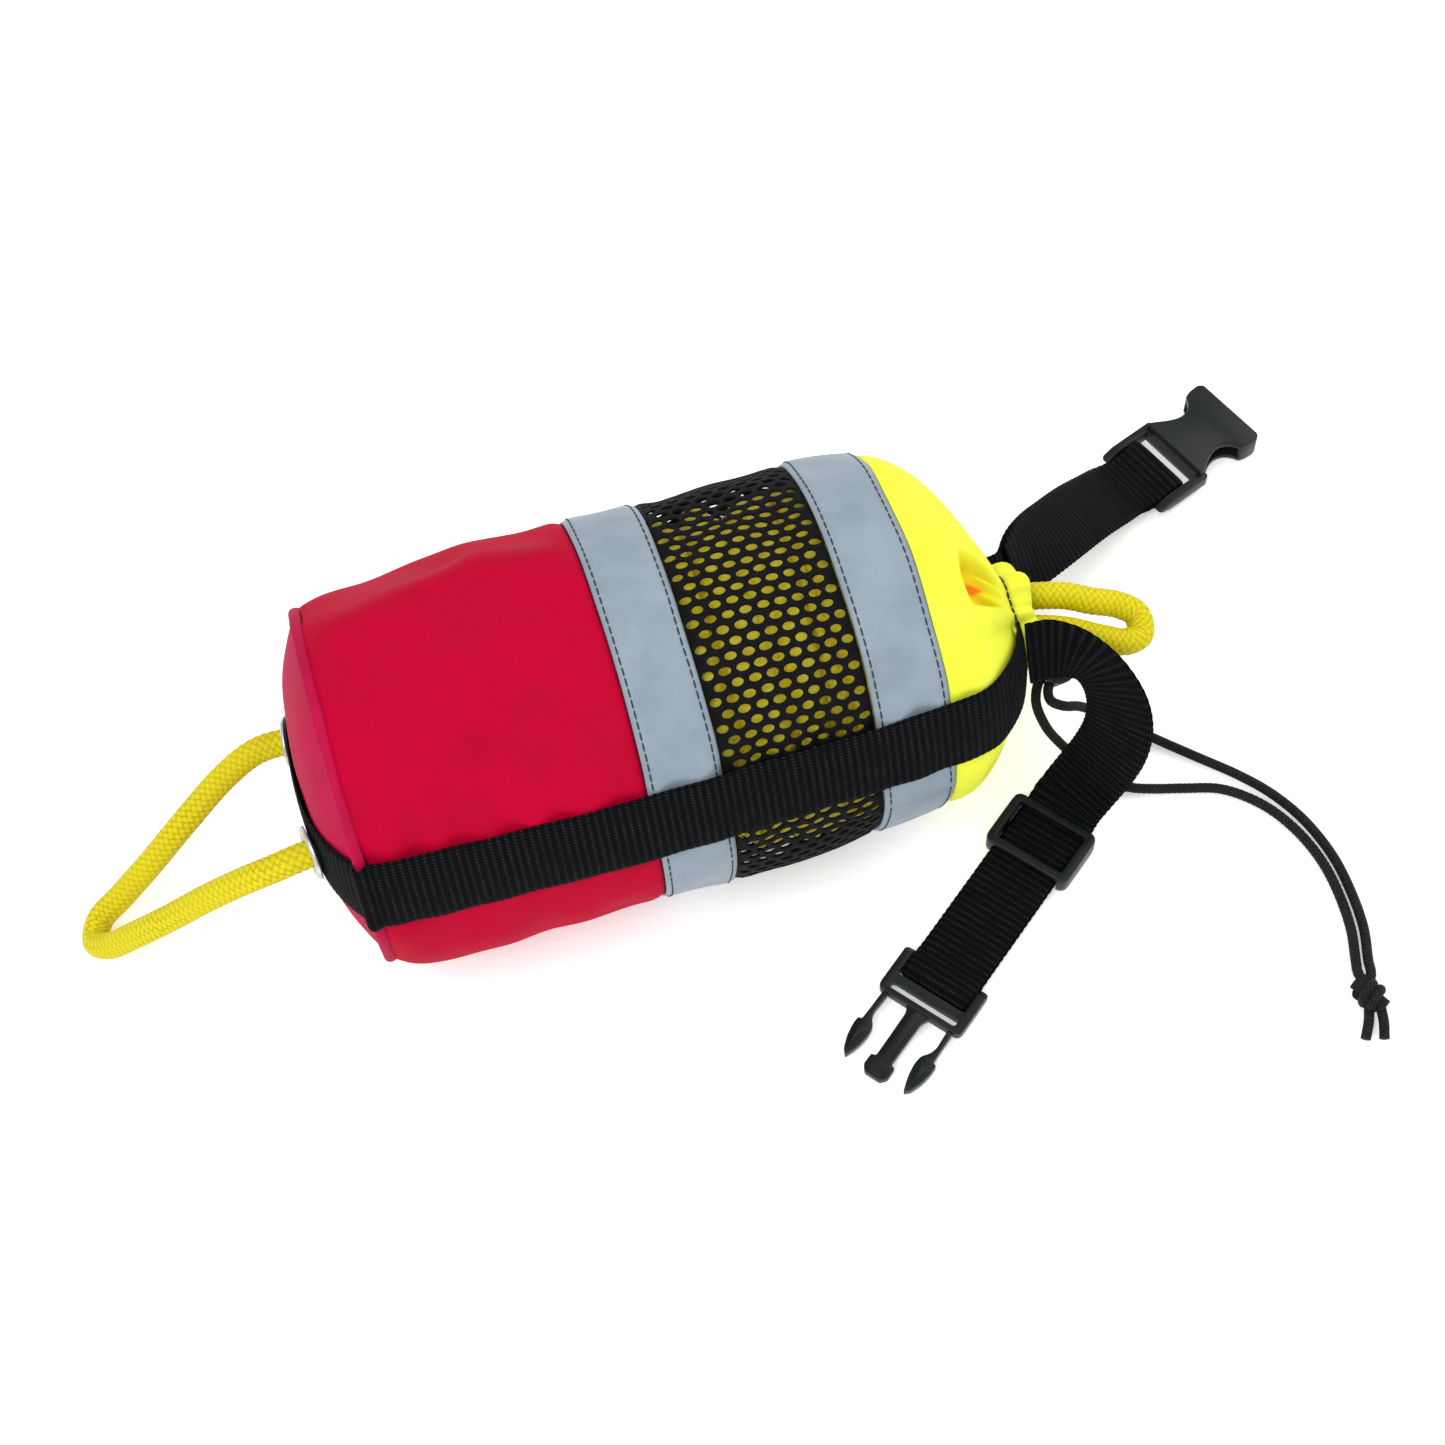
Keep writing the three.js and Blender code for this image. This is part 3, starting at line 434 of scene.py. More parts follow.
def sewing_thread(name, shade):
    paint = Paint(name, 0.6)
    twist = paint.wave(paint.math("ADD", paint.along, paint.math("MULTIPLY", paint.across, 0.7)), 0.5)
    paint.colour(paint.mix(paint.math("MULTIPLY", twist, 0.5), shade, tuple(c * 0.4 for c in shade)))
    paint.bump(twist, 0.08, 0.8)
    return paint.material


FINISH = {
    "red": red_cloth(), "base": base_cloth(), "fluoro": fluoro_cloth(), "tape": reflective_tape(),
    "net": net_yarn(), "webbing": woven_webbing(), "rope": braided_rope(), "packed": packed_rope(),
    "cord": draw_cord(), "acetal": moulded_acetal(), "foam": cell_foam(),
    "grommet": plated_metal("grommet_plate", (0.62, 0.62, 0.6), 0.28),
    "spring": plated_metal("spring_wire", (0.6, 0.6, 0.62), 0.22),
    "dark_thread": sewing_thread("dark_thread", (0.012, 0.014, 0.02)),
}


# ---- meshes ----------------------------------------------------------------------------------------
def piece(name, points, faces, finish, body="bag", stands_for=(), cloth=None, fold=None, smooth=True):
    """Adds a mesh given in millimetres. cloth: per-face lists of (along, across) for each corner."""
    data = bpy.data.meshes.new(name)
    data.from_pydata((np.asarray(points, float) * MM).tolist(), [], [tuple(f) for f in faces])
    if cloth is not None:
        layer = data.attributes.new("cloth", "FLOAT_VECTOR", "CORNER")
        flat = np.zeros((len(data.loops), 3), np.float32)
        flat[:, :2] = np.concatenate([np.asarray(c, float).reshape(-1, 2) for c in cloth])
        layer.data.foreach_set("vector", flat.ravel())
    # fold: a share per point that the fluoro and rope finishes turn into painted light and shade.
    if fold is not None:
        layer = data.attributes.new("fold", "FLOAT", "POINT")
        layer.data.foreach_set("value", np.asarray(fold, np.float32))
    data.validate()
    return adopt(bpy.data.objects.new(name, data), finish, body, stands_for, smooth)


def adopt(obj, finish, body="bag", stands_for=(), smooth=True):
    if obj.name not in bpy.context.scene.collection.objects:
        bpy.context.scene.collection.objects.link(obj)
    obj.data.materials.clear()
    obj.data.materials.append(FINISH[finish])
    obj.data.polygons.foreach_set("use_smooth", [smooth] * len(obj.data.polygons))
    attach(obj, body)
    if stands_for:
        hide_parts(*([stands_for] if isinstance(stands_for, str) else stands_for))
    return obj


def outward(obj):
    mesh = bmesh.new()
    mesh.from_mesh(obj.data)
    bmesh.ops.recalc_face_normals(mesh, faces=mesh.faces)
    mesh.to_mesh(obj.data)
    mesh.free()


def tube_grid(rows, closed_rows=False, caps=True):
    """Faces of a grid of rings whose columns wrap round, with capped ends unless the rows close too.
    Returns the faces and, for each corner, its (row, column) before wrapping."""
    n, m = rows
    faces, where = [], []
    for i in range(n if closed_rows else n - 1):
        for j in range(m):
            corner = [(i, j), (i + 1, j), (i + 1, j + 1), (i, j + 1)]
            faces.append([(a % n) * m + b % m for a, b in corner])
            where.append(corner)
    if caps and not closed_rows:
        faces.append(list(range(m)))
        where.append([(0, j) for j in range(m)])
        faces.append([(n - 1) * m + j for j in reversed(range(m))])
        where.append([(n - 1, j) for j in reversed(range(m))])
    return faces, where


def resample(line, step):
    """Points evenly about step apart along a polyline, and how far along it each one is."""
    line = np.asarray(line, float)
    along = np.concatenate([[0], np.cumsum(np.linalg.norm(np.diff(line[:, :3], axis=0), axis=1))])
    at = np.linspace(0, along[-1], max(3, int(round(along[-1] / step)) + 1))
    return np.stack([np.interp(at, along, line[:, k]) for k in range(line.shape[1])], 1), at


def catmull(points, per):
    """Centripetal Catmull-Rom curve, with per points to each span."""
    p = np.asarray(points, float)
    p = np.vstack([2 * p[0] - p[1], p, 2 * p[-1] - p[-2]])
    out = []
    for i in range(1, len(p) - 2):
        p0, p1, p2, p3 = p[i - 1:i + 3]
        d0, d1, d2 = (max(np.linalg.norm(b - a) ** 0.5, 1e-4) for a, b in ((p0, p1), (p1, p2), (p2, p3)))
        t1 = ((p1 - p0) / d0 - (p2 - p0) / (d0 + d1) + (p2 - p1) / d1) * d1
        t2 = ((p2 - p1) / d1 - (p3 - p1) / (d1 + d2) + (p3 - p2) / d2) * d1
        for k in range(per):
            t = k / per
            out.append((2 * t**3 - 3 * t**2 + 1) * p1 + (t**3 - 2 * t**2 + t) * t1
                       + (-2 * t**3 + 3 * t**2) * p2 + (t**3 - t**2) * t2)
    out.append(p[-2])
    return np.array(out)


def soften(line, sigma):
    """Smooths the rows of a polyline with a Gaussian of sigma rows, keeping its ends."""
    reach = int(3 * sigma) + 1
    kernel = np.exp(-0.5 * (np.arange(-reach, reach + 1) / sigma) ** 2)
    kernel /= kernel.sum()
    ends = np.vstack([2 * line[0] - line[reach:0:-1], line, 2 * line[-1] - line[-2:-reach - 2:-1]])
    return np.stack([np.convolve(ends[:, k], kernel, "valid") for k in range(line.shape[1])], 1)


def carried_frames(line, start):
    """Tangent and two normals along a line, carried without twist from the direction start."""
    tangent = np.gradient(line, axis=0)
    tangent /= np.linalg.norm(tangent, axis=1)[:, None]
    side, sides = np.asarray(start, float), []
    for t in tangent:
        side = unit(side - t * (side @ t))
        sides.append(side)
    sides = np.array(sides)
    return tangent, sides, np.cross(tangent, sides)


# ---- the skin of the bag ---------------------------------------------------------------------------
FINE_X = np.linspace(SKIN[0, 0], SKIN[-1, 0], 600)
FINE_R = soften(np.stack([FINE_X, np.interp(FINE_X, SKIN[:, 0], SKIN[:, 1])], 1), 7)[:, 1]


def cone_share(x):
    return np.clip((x - CONE_X) / (THROAT_X - CONE_X), 0, 1)


def angle_gap(a, centre):
    """Signed gap in radians, from -pi to pi."""
    return (a - centre + math.pi) % (2 * math.pi) - math.pi


def web_gap(a, r):
    """Distance round the skin, in mm, from the nearer webbing's middle."""
    near, far = np.abs(angle_gap(a, WEB_ROLL)), np.abs(angle_gap(a, WEB_ROLL + math.pi))
    return np.minimum(near, far) * r


def smooth_noise(x, y, z, size):
    flat = np.stack(np.broadcast_arrays(x, y, z), -1).reshape(-1, 3) / size
    return np.array([noise.noise(Vector(p)) for p in flat]).reshape(np.broadcast(x, y, z).shape)


def smooth_step(t):
    t = np.clip(t, 0, 1)
    return t * t * (3 - 2 * t)


def creases(x, a):
    """How far the gathers of the throat cut in, in mm."""
    cut = np.zeros(np.broadcast(x, a).shape)
    for centre, depth, width, start, left in CREASES:
        rise = smooth_step((x - start) / 10) * (1 - (1 - left) * smooth_step((x - 113) / 10))
        gap = np.degrees(np.abs(angle_gap(a, math.radians(centre))))
        spread = width * (0.5 + 0.5 * cone_share(x))
        cut = cut + depth * rise * np.exp(-(gap / spread) ** 2)
    return cut + pocket(x, a)


def pocket(x, a):
    """The one deep fold on top: a sharp lip towards the bag, then small puckers out to the hem."""
    degrees = np.degrees(angle_gap(a, math.radians(76)))
    lip = 103.6 + 0.012 * degrees ** 2 + 0.06 * degrees
    drop = smooth_step((x - lip) / 2.6)
    back_up = 1 - 0.85 * smooth_step((x - lip - 3) / 17)
    sides = smooth_step((13 - degrees) / 5) * smooth_step((degrees + 12.5) / 4)
    fades = smooth_step((x - 106) / 8) * (1 - 0.85 * smooth_step((x - 117) / 7))
    pucker = 1.5 * np.sin(degrees * 0.62 + 0.35 * (x - 110)) * fades
    return (10.5 * drop * back_up + pucker * drop) * sides


def painted_pocket_light(x, a):
    """Share of the orange bounce light and shade painted into the fold, full in its narrowest crevice."""
    degrees = np.degrees(angle_gap(a, math.radians(76)))
    crevice = np.exp(-((x - 109.5 - 0.25 * degrees) / 4.5) ** 2 - ((degrees + 1.5) / 2.6) ** 2)
    return np.clip(pocket(x, a) / 14 + 0.55 * crevice, 0, 1)


def relief(x, a):
    """Height of the cloth over the plain skin: seams, dimples and puckers beside the webbing."""
    r = np.interp(x, FINE_X, FINE_R)
    out = np.zeros(np.broadcast(x, a).shape)
    for seam in SEAMS:
        out = out - 0.9 * np.exp(-((x - seam) / 2.2) ** 2)
    round_x, round_y = np.cos(a) * 60, np.sin(a) * 60
    calm = 1 - 0.5 * cone_share(x)
    out = out + calm * 1.5 * smooth_noise(x, round_x, round_y, 48)
    out = out + 0.45 * smooth_noise(x, round_x, round_y, 17)
    gap = np.maximum(web_gap(a, r) - WEB_W / 2, 0)
    ripple = np.sin(2 * math.pi * x / 17 + 2.2 * smooth_noise(x, round_x, round_y, 30))
    out = out + 0.8 * np.exp(-gap / 7) * ripple - 1.1 * np.exp(-gap / 5)
    rim = np.exp(-(x - WALL_START) / 7)
    return out + rim * (0.5 * np.sin(7 * a + 1.0) + 0.4 * np.sin(13 * a))


def skin_points(x, a, pushed=0.0, swell=None, relieved=1.0):
    """Points of the skin at x and angle a, pushed out by that many mm; a strap follows less relief."""
    r = np.interp(x, FINE_X, FINE_R) + relief(x, a) * relieved + pushed
    if relieved == 1.0:
        r = r - creases(x, a)
    share = cone_share(x)
    points = np.stack([x, THROAT_Y * share - r * np.cos(a), AXIS_Z + r * np.sin(a)], -1)
    if swell is not None:
        points = points + swell(x, a)
    points[..., 2] = np.maximum(points[..., 2], np.maximum(-pushed, 0.0) + 0.02)
    return points


def skin_grid(xs, angles, pushed=0.0, swell=None):
    x, a = np.meshgrid(np.asarray(xs, float), np.asarray(angles, float), indexing="ij")
    return skin_points(x, a, pushed, swell)


SIM_X = np.linspace(WALL_START, 118, 62)
SIM_A = np.linspace(0, 2 * math.pi, 96, endpoint=False)
SWELL_CAP = 2.6


def simulate_skin():
    """Inflates a cloth tube pinned at its webbing, hem and base; returns how far each point moved, in mm."""
    base = skin_grid(SIM_X, SIM_A)
    n, m = len(SIM_X), len(SIM_A)
    faces = [[i * m + j, i * m + (j + 1) % m, (i + 1) * m + (j + 1) % m, (i + 1) * m + j]
             for i in range(n - 1) for j in range(m)]
    data = bpy.data.meshes.new("swelling_skin")
    data.from_pydata((base.reshape(-1, 3) * MM).tolist(), [], faces)
    obj = bpy.data.objects.new("swelling_skin", data)
    bpy.context.scene.collection.objects.link(obj)
    pins = obj.vertex_groups.new(name="pins")
    gap = web_gap(SIM_A, 64.0)
    for i in range(n):
        for j in range(m):
            held = i == 0 or i == n - 1 or gap[j] < WEB_W / 2 or base[i, j, 2] < 1.0
            seam = min(abs(SIM_X[i] - s) for s in SEAMS) < 2.0
            pins.add([i * m + j], 1.0 if held else 0.35 if seam else 0.0, "REPLACE")
    cloth = obj.modifiers.new("cloth", "CLOTH")
    wanted = cloth.settings
    wanted.vertex_group_mass = "pins"
    wanted.use_pressure, wanted.uniform_pressure_force = True, 4.0
    wanted.shrink_min = -0.035
    wanted.tension_stiffness = wanted.compression_stiffness = 25
    wanted.bending_stiffness = 1.5
    wanted.effector_weights.gravity = 0.0
    cloth.point_cache.frame_start, cloth.point_cache.frame_end = 1, 20
    scene = bpy.context.scene
    for f in range(1, 21):
        scene.frame_set(f)
    seen = obj.evaluated_get(bpy.context.evaluated_depsgraph_get()).to_mesh()
    co = np.zeros(len(seen.vertices) * 3, np.float32)
    seen.vertices.foreach_get("co", co)
    moved = co.reshape(n, m, 3) / MM - base
    bpy.data.objects.remove(obj)
    scene.frame_set(1)
    size = np.linalg.norm(moved, axis=-1, keepdims=True)
    return even_out(moved * np.minimum(1, SWELL_CAP / np.maximum(size, 1e-6)), 3)


def even_out(field, rounds):
    """Averages each cell of the tube's grid with its neighbours, leaving its two ends as they are."""
    for _ in range(rounds):
        around = (np.roll(field, 1, axis=1) + 2 * field + np.roll(field, -1, axis=1)) / 4
        field = np.concatenate([around[:1], (around[:-2] + 2 * around[1:-1] + around[2:]) / 4, around[-1:]])
    return field


def swell_of(moved):
    """A smooth lookup of the simulated movement at any place on the skin."""
    n, m = moved.shape[:2]

    def weights(t):
        return [(-t**3 + 2 * t**2 - t) / 2, (3 * t**3 - 5 * t**2 + 2) / 2,
                (-3 * t**3 + 4 * t**2 + t) / 2, (t**3 - t**2) / 2]

    def at(x, a):
        row = np.clip((x - SIM_X[0]) / (SIM_X[1] - SIM_X[0]), 0, n - 1.001)
        column = (a / (2 * math.pi) * m) % m
        i, j = row.astype(int), column.astype(int)
        total = 0
        for p, wp in enumerate(weights(row - i)):
            for q, wq in enumerate(weights(column - j)):
                total = total + (wp * wq)[..., None] * moved[np.clip(i + p - 1, 0, n - 1), (j + q - 1) % m]
        return total * (1 - cone_share(x)[..., None])
    return at


SWELL = swell_of(simulate_skin())


def wall(name, x0, x1, thickness, pushed, finish, stands_for, step=1.8, around=300, turned_in=0.0):
    """A closed panel of cloth round the bag from x0 to x1, with rolled edges."""
    xs = np.linspace(x0, x1, max(3, int((x1 - x0) / step) + 1))
    angles = np.linspace(0, 2 * math.pi, around, endpoint=False)
    edge = np.minimum(np.arange(len(xs)), np.arange(len(xs))[::-1])
    outer = skin_grid(xs, angles, pushed, SWELL)
    inner = skin_grid(xs, angles, pushed - thickness, SWELL)
    lip = turned_in * np.exp(-edge / 1.2)
    outer = outer + (inner - outer) * lip[:, None, None]
    grid = np.concatenate([outer, inner[::-1]])
    n, m = grid.shape[:2]
    faces, where = tube_grid((n, m), closed_rows=True)
    arc = 2 * math.pi * 64 / m
    xx = np.concatenate([xs, xs[::-1], xs[:1]])
    cloth = [[(xx[i], j * arc) for i, j in c] for c in where]
    # The fold attribute carries the share of painted bounce light and shade that the fluoro finish multiplies
    # into the pocket fold.
    fold = painted_pocket_light(np.concatenate([xs, xs[::-1]])[:, None], angles[None, :]).ravel()
    return piece(name, grid.reshape(-1, 3), faces, finish, stands_for=stands_for, cloth=cloth, fold=fold)


def stitches(name, line, normals, pitch, length, thickness, finish, lift=0.1):
    """A row of separate stitches lying on a surface, as short rounded threads."""
    both, at = resample(np.hstack([line, normals]), 0.5)
    points, faces, cloth = [], [], []
    count = int(at[-1] / pitch)
    sides, rings = 6, ((0.0, 0.35), (0.12, 0.85), (0.5, 1.0), (0.88, 0.85), (1.0, 0.35))
    for k in range(count):
        start = k * pitch + (pitch - length) / 2
        ring_faces, where = tube_grid((len(rings), sides))
        first = len(points)
        for share, wide in rings:
            s = start + share * length
            p = np.array([np.interp(s, at, both[:, c]) for c in range(6)])
            p2 = np.array([np.interp(s + 0.3, at, both[:, c]) for c in range(3)])
            tangent = unit(p2 - p[:3] + 1e-9)
            n = unit(p[3:] - tangent * (p[3:] @ tangent))
            b = np.cross(tangent, n)
            centre = p[:3] + n * (lift - 0.25 * (1 - wide))
            for q in range(sides):
                angle = 2 * math.pi * q / sides
                points.append(centre + thickness / 2 * wide * (n * math.cos(angle) + b * math.sin(angle)))
        faces += [[first + v for v in f] for f in ring_faces]
        cloth += [[(rings[i % len(rings)][0] * length, j * 0.3) for i, j in c] for c in where]
    return piece(name, points, faces, finish, cloth=cloth)


def ring_line(x, pushed, count=360):
    """A line round the skin at x, and the directions away from it."""
    angles = np.linspace(0, 2 * math.pi, count + 1)
    here = skin_grid([x - 0.4, x, x + 0.4], angles, pushed, SWELL)
    along, across = here[2] - here[0], np.gradient(here[1], axis=0)
    out = np.cross(across, along)
    out /= np.linalg.norm(out, axis=1)[:, None]
    centre = np.array([0, THROAT_Y * float(cone_share(np.float64(x))), AXIS_Z])
    radial = here[1] - centre
    radial[:, 0] = 0
    out *= np.sign((out * radial).sum(1))[:, None]
    return here[1], out


# ---- cloth panels and their stitching ----------------------------------------------------------------
FABRIC_T = 1.2
body_cloth = wall("body_cloth", WALL_START, -12.6, FABRIC_T, 0.0, "red", "lower_body_panel", turned_in=0.4)
lower_tape = wall("lower_tape", -12.3, 12.3, FABRIC_T, 0.2, "tape", "lower_reflective_band", step=1.2)
upper_tape = wall("upper_tape", 63.9, 89.0, FABRIC_T, 0.2, "tape", "upper_reflective_band", step=1.2)
throat_cloth = wall("throat_cloth", 89.3, THROAT_X, FABRIC_T, 0.0, "fluoro", "throat_panel", 0.55, 560)
liner_foam = wall("liner_foam", -100, -13, 4.0, -FABRIC_T - 0.5, "foam", "foam_liner", step=4, around=160)

for seam_name, x, thread in (
        ("lower_tape_left", -10.4, "dark_thread"), ("lower_tape_right", 10.4, "dark_thread"),
        ("upper_tape_left", 65.8, "dark_thread"), ("upper_tape_right", 87.0, "dark_thread")):
    line, out = ring_line(x, 0.2)
    stitches("stitches_" + seam_name, line, out, 3.5, 3.0, 0.6, thread)


# ---- net window, with real holes ---------------------------------------------------------------------
def net_window():
    """A knitted net of staggered oval holes, its threads rounded over towards each hole."""
    x0, x1, across, around = 12.7, 63.5, 9, 94
    pitch, turn = (x1 - x0) / across, 2 * math.pi / around
    oval = [(math.cos(math.pi * k / 6), math.sin(math.pi * k / 6)) for k in range(12)]
    hexagon = [(0.5, -1 / 3), (0.5, 1 / 3), (0, 2 / 3), (-0.5, 1 / 3), (-0.5, -1 / 3), (0, -2 / 3)]
    layers = ((0.0, 1.12), (-0.25, 1.0), (-0.6, 1.0), (-0.85, 1.1))
    xs, turns, depth, faces, keys = [], [], [], [], {}

    def corner(key, x, a, d):
        if key not in keys:
            keys[key] = len(xs)
            xs.append(x)
            turns.append(a)
            depth.append(d)
        return keys[key]

    def edge_corner(i, column, u, v, layer):
        x = min(max(x0 + (column + u) * pitch, x0), x1)
        key = ("edge", layer, round(2 * (x - x0) / pitch), round(3 * (i + v)) % (3 * around))
        return corner(key, x, (i + v) * turn, layers[layer][0] + (0.06 if layer == 0 else 0))

    for i in range(around):
        odd = i % 2
        for j in range(-odd, across):
            column = j + 0.5 + 0.5 * odd
            top = [edge_corner(i, column, u, v, 0) for u, v in hexagon]
            bottom = [edge_corner(i, column, u, v, 3) for u, v in hexagon]
            if column < 0.25 or column > across - 0.25:
                low_end = column < 1
                keep = [k for k, (u, _) in enumerate(hexagon) if u == 0 or (u > 0) == low_end]
                first, last = (5, 2) if low_end else (2, 5)
                faces.append([top[k] for k in keep])
                faces.append([bottom[k] for k in keep][::-1])
                faces.append([top[first], bottom[first], bottom[last], top[last]])
                continue
            slack = [rng.uniform(-0.12, 0.12) for _ in range(4)]
            ring = [[corner((i, j, layer, k), x0 + column * pitch + slack[0] + (2.0 + slack[2]) * grow * c[0],
                            i * turn + (slack[1] + (1.38 + 0.6 * slack[3]) * grow * c[1]) / 64, d)
                     for k, c in enumerate(oval)] for layer, (d, grow) in enumerate(layers)]
            # Oval points 11, 1, 3 ... face the hexagon's corners in turn.
            for k in range(6):
                e0, e1 = k, (k + 1) % 6
                h = [(2 * k + 11) % 12, (2 * k) % 12, (2 * k + 1) % 12]
                faces.append([top[e0], top[e1], ring[0][h[2]], ring[0][h[1]], ring[0][h[0]]])
                faces.append([bottom[e1], bottom[e0], ring[3][h[0]], ring[3][h[1]], ring[3][h[2]]])
            for upper, lower in zip(ring, ring[1:]):
                for k in range(12):
                    faces.append([upper[k], upper[(k + 1) % 12], lower[(k + 1) % 12], lower[k]])
            if j == 0 and not odd:
                faces.append([top[4], top[3], bottom[3], bottom[4]])
            if j == across - 1 and not odd:
                faces.append([top[1], top[0], bottom[0], bottom[1]])
    xs, turns, depth = np.array(xs), np.array(turns), np.array(depth)
    sag = -0.6 + 0.6 * smooth_noise(xs, np.cos(turns) * 64, np.sin(turns) * 64, 22)
    points = skin_points(xs, turns, depth + sag, SWELL)
    cloth = [[(xs[v], turns[v] * 64) for v in f] for f in faces]
    made = piece("net_window", points, faces, "net", stands_for="mesh_window", cloth=cloth)
    outward(made)
    return made


net = net_window()


# ---- rope --------------------------------------------------------------------------------------------
def braided(name, line, start, diameter, finish, stands_for=(), step=0.42, sides=48, strands=8, lay=20.0,
            depth=0.4):
    """A braided rope along a line of points, its strands raised in the mesh."""
    line, along = resample(line, step)
    _, side, other = carried_frames(line, start)
    n, m = len(line), sides
    s, theta = np.meshgrid(along, np.arange(m) * 2 * math.pi / m, indexing="ij")
    left = strands * (theta / (2 * math.pi) + s / lay)
    right = strands * (theta / (2 * math.pi) - s / lay)
    fl, fr = left % 1 - 0.5, right % 1 - 0.5
    odd = (np.floor(left) + np.floor(right)) % 2 > 0.5
    over = np.where(odd, (1 - (2 * fl) ** 2) * (1 - 0.55 * (2 * fr) ** 4),
                    (1 - (2 * fr) ** 2) * (1 - 0.55 * (2 * fl) ** 4)) ** 0.75
    radius = diameter / 2 - depth * (1 - over)
    last = np.minimum(along, along[-1] - along)
    radius = radius * np.sqrt(np.clip((last + 0.6) / 3, 0.2, 1))[:, None]
    points = (line[:, None] + radius[..., None] * (np.cos(theta)[..., None] * side[:, None]
                                                   + np.sin(theta)[..., None] * other[:, None]))
    faces, where = tube_grid((n, m))
    yarn = np.where(odd, fl, fr) * 2.1
    cloth = [[(yarn[i, j % m], s[i, j % m]) for i, j in c] for c in where]
    # fold: depth down between the strands, which the rope finish turns into painted shade.
    made = piece(name, points.reshape(-1, 3), faces, finish, stands_for=stands_for, cloth=cloth,
                 fold=(1 - over).ravel())
    return made, line, along[-1]


base_line = catmull(BASE_LOOP, 6)
base_rope, base_path, base_length = braided("base_rope", base_line, UP, ROPE_D, "rope", "base_rope_loop")
throat_line = catmull(THROAT_LOOP, 6)
throat_rope, throat_path, throat_length = braided("throat_rope", throat_line, UP, ROPE_D, "rope",
                                                  "throat_rope_loop", lay=18.0)


def knot_line(centre, size, turns, axis, tilt, count=90):
    """Wraps of a stopper knot round an axis."""
    axis = unit(axis)
    side = unit(np.cross(axis, tilt))
    other = np.cross(axis, side)
    t = np.linspace(0, 1, count)[:, None]
    angle = 2 * math.pi * turns * t
    reach = size[1] * (0.75 + 0.25 * np.sin(math.pi * t))
    outwards = side * np.cos(angle) + other * np.sin(angle)
    return np.asarray(centre) + axis * (t - 0.5) * size[0] + reach * outwards


stopper_line = knot_line((-90, 0, 62), (13, 8.6), 2.6, (0, 0.93, 0.37), UP)
braided("stopper_knot_rope", stopper_line, UP, ROPE_D * 0.9, "rope", "base_stopper_knot", 1.2, 24)


def packed_coils():
    turns, rows = 7.3, 900
    t = np.linspace(0, 1, rows)
    angle = 2 * math.pi * turns * t
    x = 8 + 62 * t + 3.2 * np.sin(angle * 0.5 + 1) + 2.4 * np.sin(angle * 1.7)
    r = 55.5 + 1.2 * np.sin(angle * 1.31) - 2.5 * t
    line = np.stack([x, -r * np.cos(angle), np.maximum(AXIS_Z - 2.4 + r * np.sin(angle), 6.6)], 1)
    return braided("packed_rope_coils", line, (1, 0, 0), ROPE_D, "packed", step=3.0, sides=16, lay=27,
                   depth=0.5)[0]


def packed_core():
    rows = [(-76, 12), (-74, 42), (-68, 50), (-40, 52), (-14, 53), (0, 53), (40, 53), (70, 52), (84, 42),
            (92, 10)]
    line, _ = resample(np.array([(x, r, 0) for x, r in rows], float), 2.0)
    m = 140
    angle = np.arange(m) * 2 * math.pi / m
    x, a = np.meshgrid(line[:, 0], angle, indexing="ij")
    lumps = 1.8 * np.sin(x * 0.66 + 2.5 * np.sin(a))
    lumps = lumps + 1.2 * smooth_noise(x, np.cos(a) * 50, np.sin(a) * 50, 14)
    r = line[:, 1][:, None] + lumps * np.minimum(1, line[:, 1][:, None] / 30)
    points = np.stack([x, -r * np.cos(a), AXIS_Z - 2.5 + r * np.sin(a)], -1)
    faces, where = tube_grid((len(line), m))
    cloth = [[(line[i, 0], j * 2.2) for i, j in c] for c in where]
    made = piece("packed_rope", points.reshape(-1, 3), faces, "packed", stands_for="stuffed_rope",
                 cloth=cloth)


packed_coils()
packed_core()


# ---- base: domed panel, seam, grommets and foam ------------------------------------------------------
ROLL_Y, ROLL_Z = math.cos(WEB_ROLL), math.sin(WEB_ROLL)


def dome_x(r):
    return BASE_X + DOME * (r / BASE_R) ** 3


HOLE_TILT = math.atan(3 * DOME * ROPE_HOLE_S ** 2 / BASE_R ** 3)


def hole_frame(side):
    """Place and axis of a rope hole: columns are along the hole, and two ways across it."""
    axis = np.array([math.cos(HOLE_TILT), side * math.sin(HOLE_TILT), 0])
    cross = np.array([-side * math.sin(HOLE_TILT), math.cos(HOLE_TILT), 0])
    turn = np.array([[1, 0, 0], [0, ROLL_Y, ROLL_Z], [0, -ROLL_Z, ROLL_Y]])
    at = turn @ np.array([dome_x(ROPE_HOLE_S), -side * ROPE_HOLE_S, 0]) + np.array([0, 0, AXIS_Z])
    return at, turn @ axis, turn @ cross, turn @ UP


def lathe(name, profile, frame_at, finish, body="bag", stands_for=(), sides=64):
    """A closed ring or capped solid turned about an axis; profile is a list of (along, radius)."""
    at, axis, side, other = frame_at
    hollow = min(r for _, r in profile) > 0.01
    m, n = sides, len(profile)
    angle = np.arange(m) * 2 * math.pi / m
    points = [at + axis * x + r * (side * math.cos(a) + other * math.sin(a))
              for x, r in profile for a in angle]
    faces, where = tube_grid((n, m), closed_rows=hollow)
    cloth = [[(profile[i % n][0], j * 0.5) for i, j in c] for c in where]
    made = piece(name, points, faces, finish, body, stands_for, cloth)
    outward(made)
    return made


